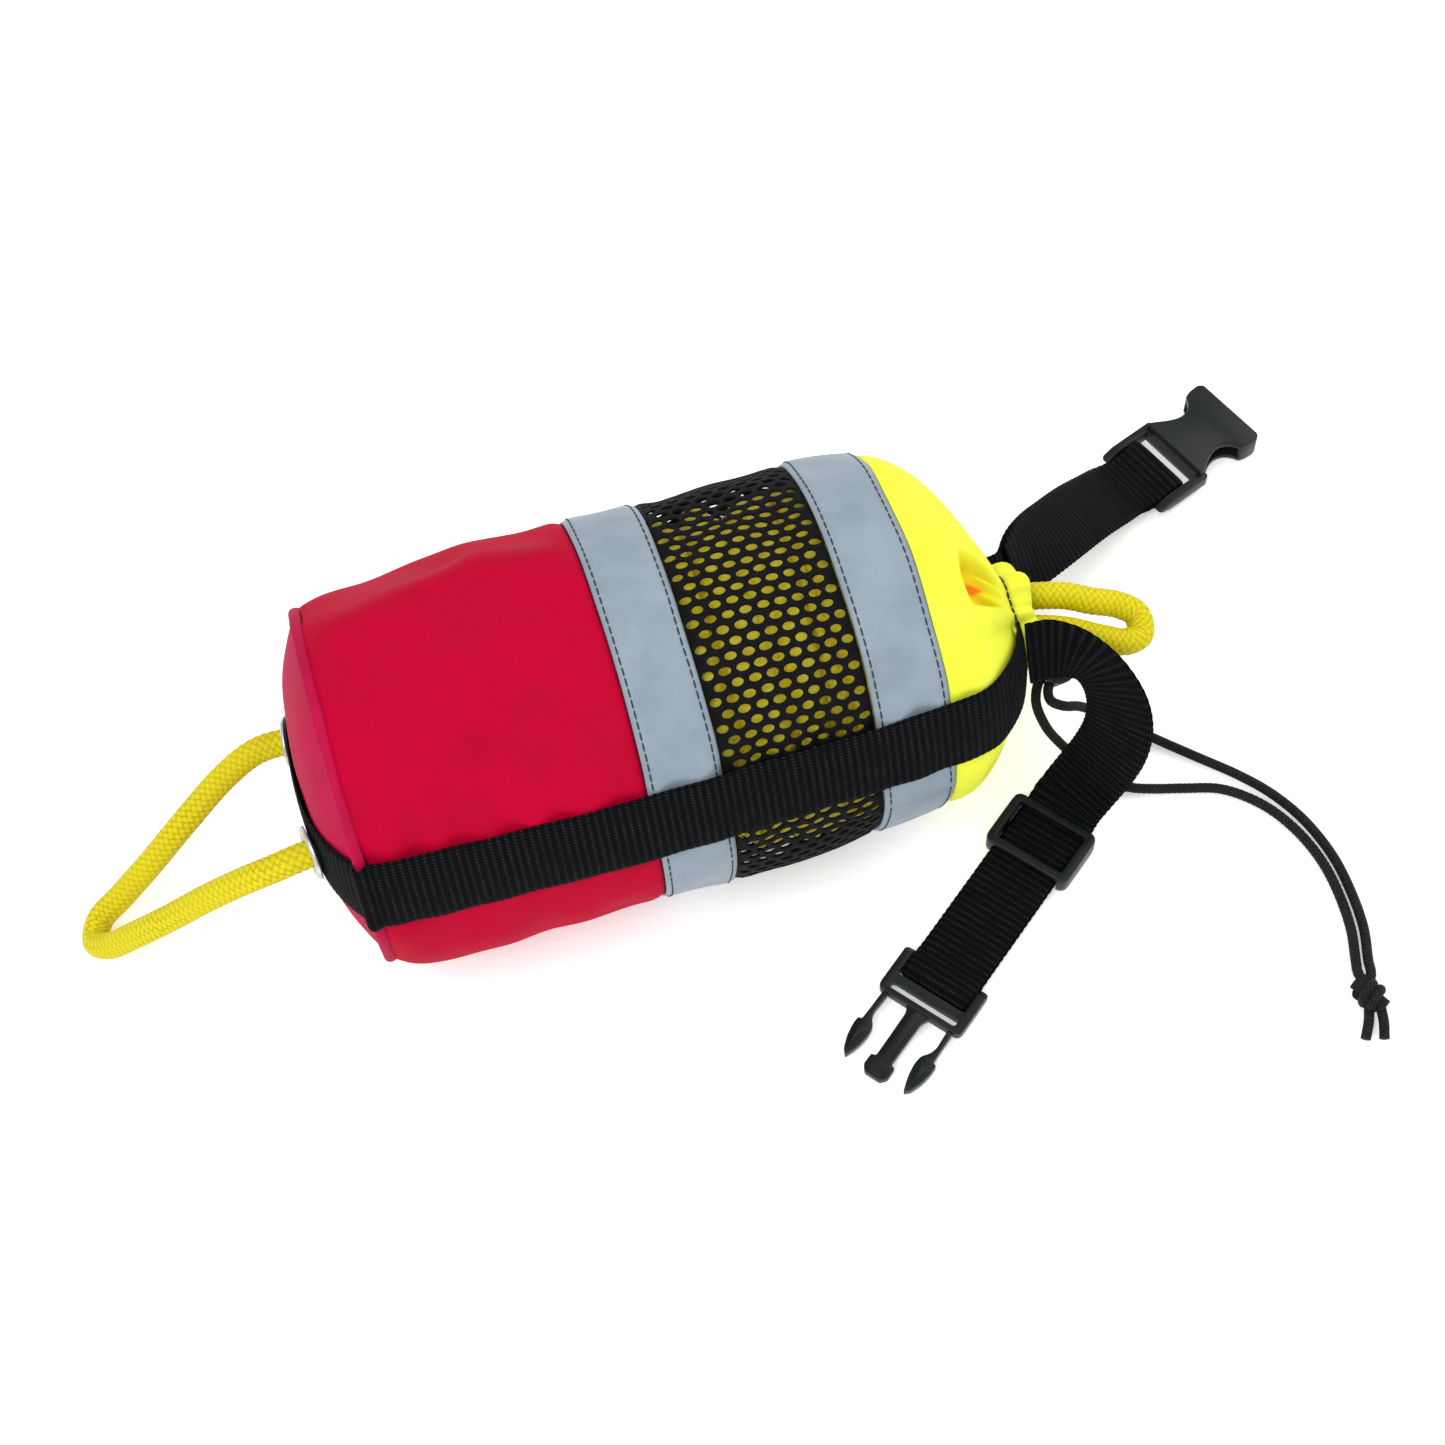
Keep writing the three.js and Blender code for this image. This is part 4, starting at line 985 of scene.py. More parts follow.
def cut_holes(obj, radius=6.4):
    """Cuts the two rope holes through a closed piece of the base."""
    for side in (1, -1):
        at, axis, _, _ = hole_frame(side)
        bpy.ops.mesh.primitive_cylinder_add(vertices=48, radius=radius * MM, depth=0.05, location=at * MM)
        drill = bpy.context.object
        drill.rotation_euler = Vector(axis).to_track_quat("Z", "Y").to_euler()
        apply_boolean(obj, drill, "DIFFERENCE")


def apply_boolean(obj, tool, operation):
    change = obj.modifiers.new("join_or_cut", "BOOLEAN")
    change.operation, change.solver, change.object = operation, "EXACT", tool
    settle(obj)
    bpy.data.objects.remove(tool)


def settle(obj):
    """Applies every modifier of an object."""
    graph = bpy.context.evaluated_depsgraph_get()
    graph.update()
    done = bpy.data.meshes.new_from_object(obj.evaluated_get(graph), depsgraph=graph)
    if not done.vertices:
        raise RuntimeError(obj.name + " came out empty")
    obj.modifiers.clear()
    obj.data = done


def dome_sheet(name, lift, thickness, radius, finish, stands_for, flat_back=None):
    radii = np.concatenate([[0.6], np.linspace(3, radius, 30)])
    m = 180
    angle = np.arange(m) * 2 * math.pi / m
    r, a = np.meshgrid(radii, angle, indexing="ij")
    dent = 0.7 * smooth_noise(r * np.cos(a), r * np.sin(a), 0 * r, 22) * np.clip((radius - r) / 12, 0, 1)
    front = dome_x(r) + lift + dent
    back = front + thickness if flat_back is None else np.full_like(front, flat_back)
    rim = radii / radii[-1] > 0.999
    front = front + 0.3 * rim[:, None]
    grid = np.concatenate([np.stack([front, -r * np.cos(a), AXIS_Z + r * np.sin(a)], -1),
                           np.stack([back, -r * np.cos(a), AXIS_Z + r * np.sin(a)], -1)[::-1]])
    faces, where = tube_grid((2 * len(radii), m))
    flat = np.stack([-r * np.cos(a), r * np.sin(a)], -1)
    flat = np.concatenate([flat, flat[::-1]])
    cloth = [[tuple(flat[i, j % m]) for i, j in c] for c in where]
    made = piece(name, grid.reshape(-1, 3), faces, finish, stands_for=stands_for, cloth=cloth)
    outward(made)
    cut_holes(made)
    adopt(made, finish)
    return made


base_cloth_disc = dome_sheet("base_cloth", 0.0, FABRIC_T, BASE_R, "base", "base_panel")
dome_sheet("base_foam", FABRIC_T + 0.4, 0, 52, "foam", "base_foam_disc", flat_back=-101.5)


def seam_binding():
    """The base seam: both cloths turned in and bound, slightly uneven round the bag."""
    m, k = 360, 14
    angle = np.arange(m) * 2 * math.pi / m
    around = np.arange(k) * 2 * math.pi / k
    a, t = np.meshgrid(angle, around, indexing="ij")
    wobble = 0.25 * np.sin(23 * a) + 0.3 * smooth_noise(np.cos(a) * 60, np.sin(a) * 60, 0 * a, 12)
    x = BINDING_X + BINDING_WIDE * np.cos(t) + 0.2 * wobble
    # The outer side rises where the puckered edge of the body cloth stands higher than the binding.
    wall_edge = np.interp(WALL_START, FINE_X, FINE_R) + relief(np.full_like(a, WALL_START), a)
    lifted = np.clip(wall_edge + 0.15 - (BINDING_R + BINDING_HIGH), 0, 2)
    r = BINDING_R + (BINDING_HIGH + 0.1 * wobble) * np.sin(t) + lifted * (0.5 + 0.5 * np.sin(t))
    points = np.stack([x, -r * np.cos(a), AXIS_Z + r * np.sin(a)], -1)
    faces, where = tube_grid((m, k), closed_rows=True)
    cloth = [[(i, j * 0.5) for i, j in c] for c in where]
    outward(piece("base_seam", points.reshape(-1, 3), faces, "base", stands_for="base_seam_binding",
                  cloth=cloth))


seam_binding()
for side, node in ((1, "base_grommet_near"), (-1, "base_grommet_far")):
    rolled = [(-3.3 + 0.1 * math.cos(q), 9.2 + 0.1 * math.sin(q)) for q in np.linspace(-1.2, 1.2, 4)]
    flange = [(-3.5, 5.2), (-4.1, 6.4), (-4.3, 7.4), (-4.1, 8.4), (-3.6, 9.1), *rolled[:1], (-2.7, 9.2),
              (-2.6, 6.1), (2.5, 6.0), (2.6, 5.3)]
    lathe(node.replace("base_grommet", "grommet_ring"), flange, hole_frame(side), "grommet", stands_for=node)


# ---- webbing -----------------------------------------------------------------------------------------
ACROSS = np.linspace(-1, 1, 23)


def weave_strap(name, grid, stands_for, step=0.62):
    """A strap from coarse rows of points across it: densified, ribbed and given rounded, toothed edges."""
    rows, m = grid.shape[:2]
    flat = catmull(grid.reshape(rows, -1), 6)
    middle = flat[:, 3 * (m // 2):3 * (m // 2) + 3]
    along = np.concatenate([[0], np.cumsum(np.linalg.norm(np.diff(middle, axis=0), axis=1))])
    at = np.linspace(0, along[-1], int(along[-1] / step))
    flat = np.stack([np.interp(at, along, flat[:, k]) for k in range(flat.shape[1])], 1)
    fine = soften(flat, 1.6).reshape(len(at), m, 3)
    share = (ACROSS + 1) / 2 * (m - 1)
    low = np.minimum(share.astype(int), m - 2)
    fine = fine[:, low] + (fine[:, low + 1] - fine[:, low]) * (share - low)[None, :, None]
    ahead = np.gradient(fine, axis=0)
    wide = np.gradient(fine, axis=1)
    wide /= np.linalg.norm(wide, axis=2)[..., None]
    normal = np.cross(ahead, wide)
    normal /= np.linalg.norm(normal, axis=2)[..., None]
    s, q = np.meshgrid(at, ACROSS, indexing="ij")
    rib = 0.1 * np.sin(2 * math.pi * s / WEB_RIB)
    belly = np.sqrt(np.clip(1 - np.abs(q) ** 9, 0, 1))
    tooth = 0.25 * np.abs(np.sin(math.pi * s / WEB_RIB)) * (np.abs(q) > 0.999) * np.sign(q)
    fine = fine + wide * tooth[..., None]
    top = fine + normal * ((WEB_T / 2 - 0.1 + rib) * belly)[..., None]
    bottom = fine - normal * ((WEB_T / 2 - 0.1 - rib) * belly)[..., None]
    ring = np.concatenate([top, bottom[:, -2:0:-1]], axis=1)
    n, k = ring.shape[:2]
    faces, where = tube_grid((n, k))
    order = np.concatenate([ACROSS, ACROSS[-2:0:-1]]) * WEB_W / 2
    cloth = [[(at[i], order[j % k]) for i, j in c] for c in where]
    outward(piece(name, ring.reshape(-1, 3), faces, "webbing", stands_for=stands_for, cloth=cloth))


def side_webbing():
    across = np.linspace(-12.7, 12.7, 9)

    def skin_rows(sign):
        rows = []
        for x in [-103, -101, -98, -92, -84, -74, -64, -54, -44, -34, -24, -14, -4, 6, 16, 26, 36, 46, 56,
                  66, 76, 84, 92, 99, 105, 110, 114, 118, 121, 124.2]:
            base_r = float(np.interp(x, FINE_X, FINE_R))
            angle = np.arcsin(across / max(base_r, 14.2)) * (-1 if sign > 0 else 1) + WEB_ROLL
            angle = angle + (0 if sign > 0 else math.pi)
            pushed = 1.15 + 0.9 * smooth_step((x - 108) / 14) + 0.4 * math.exp(-(x + 103) / 3)
            rows.append(skin_points(np.full(len(across), float(x)), angle, pushed, SWELL, relieved=0.35))
        return np.array(rows)

    def on_base(s, x):
        return np.stack([x + 0 * across, -s * ROLL_Y - across * ROLL_Z,
                         AXIS_Z + s * ROLL_Z - across * ROLL_Y], -1)

    base_rows = [on_base(s, dome_x(np.hypot(s, across)) - 1.25)
                 for s in (57, 54, 50, 44, 36, 28, 18, 8, -2, -12, -22, -30, -38, -46, -50, -54, -57)]
    rim = [on_base(62.1, -105.2), on_base(60.9, -107.4)]
    far_rim = [on_base(-60.9, -107.4), on_base(-62.1, -105.2)]
    grid = np.array([*skin_rows(1)[::-1], *rim, *base_rows, *far_rim, *skin_rows(-1)])
    weave_strap("bag_webbing", grid, "side_webbing")


side_webbing()


def frame_rows(points, wides, count=5):
    across = np.linspace(-0.5, 0.5, count) * WEB_W
    return points[:, None] + across[None, :, None] * wides[:, None]


def arch_rows(keys):
    points = catmull([k[0] for k in keys], 4)
    wides = catmull([k[1] for k in keys], 4)
    tangent = np.gradient(points, axis=0)
    tangent /= np.linalg.norm(tangent, axis=1)[:, None]
    wides = wides - tangent * (wides * tangent).sum(1)[:, None]
    wides /= np.linalg.norm(wides, axis=1)[:, None]
    return points, wides, np.cross(tangent, wides)


def bend(centre, direction):
    out = []
    for k in range(11):
        angle = -math.pi / 2 + math.pi * k / 10
        out.append(centre + direction * LOOP_R * math.cos(angle) + UP * LOOP_R * math.sin(angle))
    return out


def strap_line(s, z):
    return SLIDER_AT + STRAP_DIR * s + UP * z


def female_line(s, z):
    return FEMALE_AT + FEMALE_DIR * s + UP * (z - FEMALE_AT[2])


NEAR_HEM = 19.4 + 0.35 + WEB_T / 2
MALE_ARCH = [
    ((126, THROAT_Y - NEAR_HEM * ROLL_Y, AXIS_Z + NEAR_HEM * ROLL_Z), (0, 0.375, 0.927)),
    ((133.6, -27.8, 70), (0.02, 0.35, 0.93)), ((140, -31.6, 70.4), (0.1, 0.2, 0.96)),
    ((146.6, -37.6, 67.6), (0.25, -0.12, 0.94)), ((151, -43.6, 60.6), (0.46, -0.42, 0.76)),
    ((152.8, -48, 50.4), (0.6, -0.64, 0.46)), ((151.6, -50.6, 38.4), (0.62, -0.74, 0.24)),
    ((148.2, -51.2, 26.6), (0.616, -0.78, 0.1)), ((143.6, -51, 15), (0.616, -0.788, 0.02)),
    ((137, -53, 6.4), (0.616, -0.788, 0)), (tuple(strap_line(-13, 3)), (0.616, -0.788, 0)),
    (tuple(strap_line(-6, 2.95)), (0.616, -0.788, 0)), (tuple(strap_line(4, 2.95)), (0.616, -0.788, 0))]
FEMALE_ARCH = [
    ((126.2, THROAT_Y + NEAR_HEM * ROLL_Y, AXIS_Z - NEAR_HEM * ROLL_Z), (0, -0.375, -0.927)),
    ((132, 12, 54.1), (0.02, -0.4, -0.91)), ((139, 18.4, 52.6), (0.1, -0.58, -0.8)),
    ((150, 26.6, 46.6), (0.22, -0.78, -0.58)), ((163, 36.4, 37.6), (0.3, -0.88, -0.34)),
    ((178, 48, 26), (0.35, -0.92, -0.14)), ((191, 57.6, 15), (0.358, -0.934, -0.04)),
    (tuple(female_line(-12, 7.4)), (0.358, -0.934, 0)), (tuple(female_line(-6.5, 5)), (0.358, -0.934, 0))]


def male_strap():
    points, wides, normals = arch_rows(MALE_ARCH)
    z0, z1, bar = FIRST_LAYER_Z, FIRST_LAYER_Z + LAYER, MALE_S + MALE_BAR_U
    under = [strap_line(s, z) for s, z in (
        (20, z0), (36, z0), (48, z0), (54, z0), (bar - 8, z0 - 0.35), (bar - 4.6, z0 - 1.1),
        (bar - 2, z0 - 1.52))]
    over = [strap_line(s, z) for s, z in (
        (bar - 2, z1 + 2.45), (bar - 4.6, z1 + 1.8), (bar - 8, z1 + 0.6), (bar - 12, z1 + 0.08),
        (bar - 16, z1), (36, z1), (20, z1))]
    way = np.array(under + bend(strap_line(bar, MALE_Z), STRAP_DIR) + over)
    tail = (points + normals * LAYER)[-13:][::-1]
    line = np.vstack([points, way, tail])
    wide = np.vstack([wides, np.tile(STRAP_WIDE, (len(way), 1)), wides[-13:][::-1]])
    weave_strap("prong_side_strap", frame_rows(line, wide), "male_strap")


def female_strap():
    points, wides, normals = arch_rows(FEMALE_ARCH)
    bar = FEMALE_BAR_U
    under = [female_line(s, z) for s, z in ((-2.4, 4), (1.5, 3.35), (4.4, 2.75), (bar - 2, 2.4))]
    over = [female_line(s, z) for s, z in ((bar - 2, 8.4), (4.4, 7.75), (1.5, 7), (-2.4, 6.5))]
    way = np.array(under + bend(female_line(bar, FEMALE_AT[2]), FEMALE_DIR) + over)
    back = (points - normals * LAYER)[-27:-2][::-1]
    line = np.vstack([points, way, back])
    wide = np.vstack([wides, np.tile(FEMALE_WIDE, (len(way), 1)), wides[-27:-2][::-1]])
    weave_strap("socket_side_strap", frame_rows(line, wide), "female_strap")


male_strap()
female_strap()


# ---- throat hem, drawcord and its lock -----------------------------------------------------------------
def throat_hem():
    m = 540
    angle = np.arange(m) * 2 * math.pi / m
    cut = creases(np.full(m, THROAT_X), angle)
    lobes = np.cos(7 * angle + 0.6 + 0.9 * np.sin(2 * angle))
    flare = np.array([noise.noise(Vector((3 * math.cos(q), 3 * math.sin(q), 4))) for q in angle])
    section = np.linspace(0, 2 * math.pi, 20, endpoint=False)
    grids = []
    for inset in (0.0, 1.15):
        rings = []
        for t in section:
            open_end = 0.5 + 0.5 * math.cos(t)
            half_x, half_r = 4.7 - inset, 4.4 - inset
            sx = math.copysign(abs(math.cos(t)) ** 0.85, math.cos(t))
            sr = math.copysign(abs(math.sin(t)) ** 0.85, math.sin(t))
            x = 128.5 + half_x * sx + open_end * (0.7 * lobes + 1.4 * flare)
            swell = (0.3 + 1.5 * open_end) * lobes * (1 if sr > 0 else 0.5)
            r = 16.4 - 0.8 * cut + half_r * sr + swell - open_end
            rings.append(np.stack([x, THROAT_Y - r * np.cos(angle), AXIS_Z + r * np.sin(angle)], -1))
        grids.append(np.array(rings).transpose(1, 0, 2))
    points, faces, cloth = [], [], []
    for k, grid in enumerate(grids):
        ring_faces, where = tube_grid(grid.shape[:2], closed_rows=True)
        ring_faces = [[v + k * grid[..., 0].size for v in (f[::-1] if k == 0 else f)] for f in ring_faces]
        where = [c[::-1] if k == 0 else c for c in where]
        points.append(grid.reshape(-1, 3))
        faces += ring_faces
        cloth += [[(j * 0.9, i * 0.25) for i, j in c] for c in where]
    return piece("hem_cloth", np.vstack(points), faces, "fluoro", stands_for="throat_hem", cloth=cloth)


throat_hem()
angle = np.linspace(0, 2 * math.pi, 721)
hem_r = 20.1 - 0.9 * creases(np.full(721, 124.0), angle)
hem_line = np.stack([np.full(721, 124.6), THROAT_Y - hem_r * np.cos(angle),
                     AXIS_Z + hem_r * np.sin(angle)], 1)
hem_out = np.stack([0 * angle + 0.2, -np.cos(angle), np.sin(angle)], 1)
stitches("stitches_hem", hem_line, hem_out, 3.0, 2.5, 0.7, "dark_thread", lift=0.3)


def plain_cord(name, line, diameter, finish, start, body="bag", stands_for=(), sides=16, step=0.9):
    line, along = resample(line, step)
    _, side, other = carried_frames(line, start)
    angle = np.arange(sides) * 2 * math.pi / sides
    knit = 0.09 * np.sin(2 * math.pi * along / 1.8)[:, None] * np.cos(angle * 4)[None, :]
    radius = (diameter / 2 + knit)[..., None]
    points = line[:, None] + radius * (np.cos(angle)[None, :, None] * side[:, None]
                                       + np.sin(angle)[None, :, None] * other[:, None])
    faces, where = tube_grid((len(line), sides))
    cloth = [[(along[i], j * math.pi * diameter / sides) for i, j in c] for c in where]
    made = piece(name, points.reshape(-1, 3), faces, finish, body, stands_for, cloth)
    return made, line, along[-1]


def on_collar(degrees, x):
    a = math.radians(degrees)
    return (x, THROAT_Y - 15.5 * math.cos(a), AXIS_Z + 15.5 * math.sin(a))


def lock_point(side, along):
    return tuple(LOCK_AT + LOCK_SIDE * side * 1.95 + LOCK_CORD * along)


def in_hem(degrees):
    """A point of the drawcord inside the hem, which it follows into the gathers."""
    a = math.radians(degrees)
    r = 15.5 - 0.9 * float(creases(np.array([THROAT_X]), np.array([a]))[0])
    return (128.45, THROAT_Y - r * math.cos(a), AXIS_Z + r * math.sin(a))


collar_line = [in_hem(-42 + (266 + 42) * k / 60) for k in range(61)]
plain_cord("collar_cord", collar_line, CORD_D, "cord", (1, 0, 0), stands_for="drawcord_collar")

knot_centre = np.array([206.6, -153.4, 5.6])
knot_axis = np.array([math.sin(math.radians(28)), -math.cos(math.radians(28)), 0.0])
knot, _, _ = plain_cord("knot_wraps", knot_line(knot_centre, (7.4, 3.5), 2.4, knot_axis, UP), CORD_D * 1.05,
                        "cord", UP, stands_for="drawcord_knot")
core, _, _ = plain_cord("knot_core", [knot_centre - knot_axis * 7, knot_centre, knot_centre + knot_axis * 6],
                        CORD_D * 1.4, "cord", UP)
for k, (x0, y0, x1, y1) in enumerate(((205, -156, 199.6, -166.2), (208.6, -157, 205.6, -168))):
    tail_line = catmull([(x0, y0, 4), ((x0 + x1) / 2 + 0.5, (y0 + y1) / 2, 3), (x1, y1, 2.1)], 8)
    plain_cord(f"knot_tail_{k + 1}", tail_line, CORD_D, "cord", UP)[0]


# ---- cord lock ---------------------------------------------------------------------------------------
LOCK_FRAME = (LOCK_AT, LOCK_AXIS, LOCK_CORD, LOCK_SIDE)
HOLE_X, HOLE_Z = 2.1, 4.0


def lock_window(x0, x1):
    """A box through the barrel where the strands pass, as a cutting tool."""
    bpy.ops.mesh.primitive_cube_add(size=1)
    tool = bpy.context.object
    tool.matrix_world = (Matrix(np.vstack([np.column_stack([LOCK_AXIS, LOCK_CORD, LOCK_SIDE,
                                                            (LOCK_AT + LOCK_AXIS * (x0 + x1) / 2) * MM]),
                                           [0, 0, 0, 1]]).tolist())
                         @ Matrix.Diagonal(((x1 - x0) * MM, 16 * MM, 2 * HOLE_Z * MM, 1)))
    bpy.context.view_layer.update()
    return tool


barrel = [(-10.6, 0.2), (-10.6, 4.6), (-10.2, 5.7), (-9.4, 6.2), (-4, 6.2), (-3.6, 6.0), (-3.2, 6.2),
          (4.4, 6.2), (4.8, 6.0), (5.2, 6.2), (7.4, 6.2), (7.9, 5.9), (8, 5.4), (7.8, 4.9), (-9.3, 4.9),
          (-9.3, 0.2)]
lock_barrel = lathe("lock_barrel", barrel, LOCK_FRAME, "acetal", stands_for="cord_lock_body")
apply_boolean(lock_barrel, lock_window(-HOLE_X, HOLE_X), "DIFFERENCE")
adopt(lock_barrel, "acetal")
button = [(-3.3, 0.2), (-3.3, 4.2), (-3.0, 4.6), (11.2, 4.6), (12, 4.2), (12.4, 3.2), (12.2, 1.4),
          (12.2, 0.2)]
lock_button = lathe("lock_button", button, LOCK_FRAME, "acetal", "lock_plunger", "cord_lock_plunger")
apply_boolean(lock_button, lock_window(-HOLE_X, HOLE_X + 3), "DIFFERENCE")
adopt(lock_button, "acetal", "lock_plunger")
coil_t = np.linspace(0, 1, 120)[:, None]
coil = (LOCK_AT + LOCK_AXIS * (-8.55 + 4.5 * coil_t)
        + 3.3 * (LOCK_CORD * np.cos(5 * math.pi * coil_t) + LOCK_SIDE * np.sin(5 * math.pi * coil_t)))
spring_coil, _, _ = plain_cord("spring_coil", coil, 0.8, "spring", LOCK_AXIS, stands_for="cord_lock_spring",
                               sides=10, step=0.4)
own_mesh(spring_coil)

def knot_mouth(end):
    """Where a strand whose free run stops at end goes into the knot."""
    across = np.cross(knot_axis, UP)
    side = np.sign((np.array(end) - knot_centre) @ across)
    return tuple(knot_centre - knot_axis * 2.5 + across * 1.7 * side)


for key, (leave, side, into, free) in STRANDS.items():
    corners = [on_collar(leave, 128.6), on_collar(leave, 133.8), *into, lock_point(side, -7.5),
               lock_point(side, 0), lock_point(side, 7), *free, knot_mouth(free[-1])]
    made, path, length = plain_cord(f"drawcord_{key}", catmull(corners, 8), CORD_D, "cord", UP,
                                    stands_for=f"drawcord_strand_{key}")


# ---- moulded buckles and slider ----------------------------------------------------------------------
def rounded(corners, per=5):
    """A closed outline from (u, v, radius) corners, each rounded by its radius."""
    out, count = [], len(corners)
    for k, (u, v, radius) in enumerate(corners):
        here = np.array([u, v], float)
        before = np.array(corners[k - 1][:2], float) - here
        after = np.array(corners[(k + 1) % count][:2], float) - here
        reach = min(radius, 0.45 * np.linalg.norm(before), 0.45 * np.linalg.norm(after))
        if reach < 0.05:
            out.append(here)
            continue
        a, b = here + unit(before) * reach, here + unit(after) * reach
        for t in np.linspace(0, 1, per):
            out.append(a * (1 - t) ** 2 + here * 2 * t * (1 - t) + b * t * t)
    return out


def box_outline(u0, u1, v0, v1, radius):
    return rounded([(u0, v0, radius), (u1, v0, radius), (u1, v1, radius), (u0, v1, radius)])


def prism(outline, w0, w1, bevel=0.0):
    """A mesh object of an outline in (u, v) drawn from w0 to w1, in millimetres of a fitting's own frame."""
    mesh = bmesh.new()
    low = [mesh.verts.new((u * MM, v * MM, w0 * MM)) for u, v in outline]
    face = mesh.faces.new(low)
    drawn = bmesh.ops.extrude_face_region(mesh, geom=[face])
    moved = [g for g in drawn["geom"] if isinstance(g, bmesh.types.BMVert)]
    bmesh.ops.translate(mesh, verts=moved, vec=(0, 0, (w1 - w0) * MM))
    if mesh.calc_volume(signed=True) < 0:
        bmesh.ops.reverse_faces(mesh, faces=mesh.faces)
    if bevel:
        rims = [e for e in mesh.edges if abs(e.verts[0].co.z - e.verts[1].co.z) < 1e-7]
        bmesh.ops.bevel(mesh, geom=rims, offset=bevel * MM, segments=2, affect="EDGES", profile=0.6)
    data = bpy.data.meshes.new("prism")
    mesh.to_mesh(data)
    mesh.free()
    made = bpy.data.objects.new("prism", data)
    bpy.context.scene.collection.objects.link(made)
    return made


def rod(u, w, radius, v0, v1):
    outline = [(u + radius * math.cos(q), w + radius * math.sin(q)) for q in np.arange(20) * 2 * math.pi / 20]
    made = prism(outline, v0, v1)
    made.data.transform(Matrix(((1, 0, 0, 0), (0, 0, 1, 0), (0, 1, 0, 0), (0, 0, 0, 1))))
    made.data.flip_normals()
    return made


def side_cut(outline):
    """A tool across a fitting's whole width, from an outline in (u, w)."""
    made = prism(outline, -22, 22)
    made.data.transform(Matrix(((1, 0, 0, 0), (0, 0, 1, 0), (0, 1, 0, 0), (0, 0, 0, 1))))
    made.data.flip_normals()
    return made


def fitting(name, body_mesh, joined, cuts, at, direction, wide, body, stands_for):
    """Joins and cuts the parts of a moulding, rounds its edges a little and puts it in place."""
    for tool in joined:
        apply_boolean(body_mesh, tool, "UNION")
    for tool in cuts:
        apply_boolean(body_mesh, tool, "DIFFERENCE")
    soft = body_mesh.modifiers.new("soft_edges", "BEVEL")
    soft.width, soft.segments, soft.limit_method, soft.angle_limit = 0.28 * MM, 2, "ANGLE", math.radians(40)
    soft.use_clamp_overlap = True
    settle(body_mesh)
    up = np.cross(direction, wide)
    body_mesh.data.transform(Matrix(np.vstack([np.column_stack([direction, wide, up, at * MM]),
                                               [0, 0, 0, 1]]).tolist()))
    body_mesh.name = name
    adopt(body_mesh, "acetal", body, stands_for)
    shade_by_angle(body_mesh)
    return body_mesh


def shade_by_angle(obj, limit=math.radians(32)):
    mesh = bmesh.new()
    mesh.from_mesh(obj.data)
    for edge in mesh.edges:
        edge.smooth = len(edge.link_faces) == 2 and edge.calc_face_angle(0) < limit
    mesh.to_mesh(obj.data)
    mesh.free()


def tapers(back, t, length):
    nose = 0.4
    slope = (t - nose) / length
    wedge = [(back - 1, nose - slope), (back + length + 1, t + slope), (back - 1, t + slope)]
    return [side_cut(wedge), side_cut([(u, -w) for u, w in wedge][::-1])]


def slider():
    u, v, rail, end, z0, z1 = 11.3, 16.5, 3.3, 3.0, 0.5, 8.3
    top = FIRST_LAYER_Z + LAYER + WEB_T / 2 + 0.55
    frame_mesh = prism(box_outline(-u, u, -v, v, 3.4), z0, z1, 0.9)
    cuts = [prism(box_outline(-20, 20, -v + rail, v - rail, 0), z0 - 1, top),
            prism(box_outline(-u + end, u - end, -v + rail, v - rail, 1.2), top - 1, z1 + 1)]
    bar = prism(box_outline(-1.9, 1.9, -v + rail - 0.5, v - rail + 0.5, 0), z0,
                FIRST_LAYER_Z - WEB_T / 2 - 0.35)
    fitting("slider_frame", frame_mesh, [], cuts, SLIDER_AT, STRAP_DIR, STRAP_WIDE, "slider", "strap_slider")
    bar.data.transform(Matrix(np.vstack([np.column_stack([STRAP_DIR, STRAP_WIDE, UP, SLIDER_AT * MM]),
                                         [0, 0, 0, 1]]).tolist()))
    bar.name = "slider_bar"
    adopt(bar, "acetal", "slider", "strap_slider", smooth=False)


MALE = {"back": -2.3, "slot0": 11.4, "slot1": 14.5, "front": 16.6, "v": 16.5, "rail": 3.2, "t": 2.1}


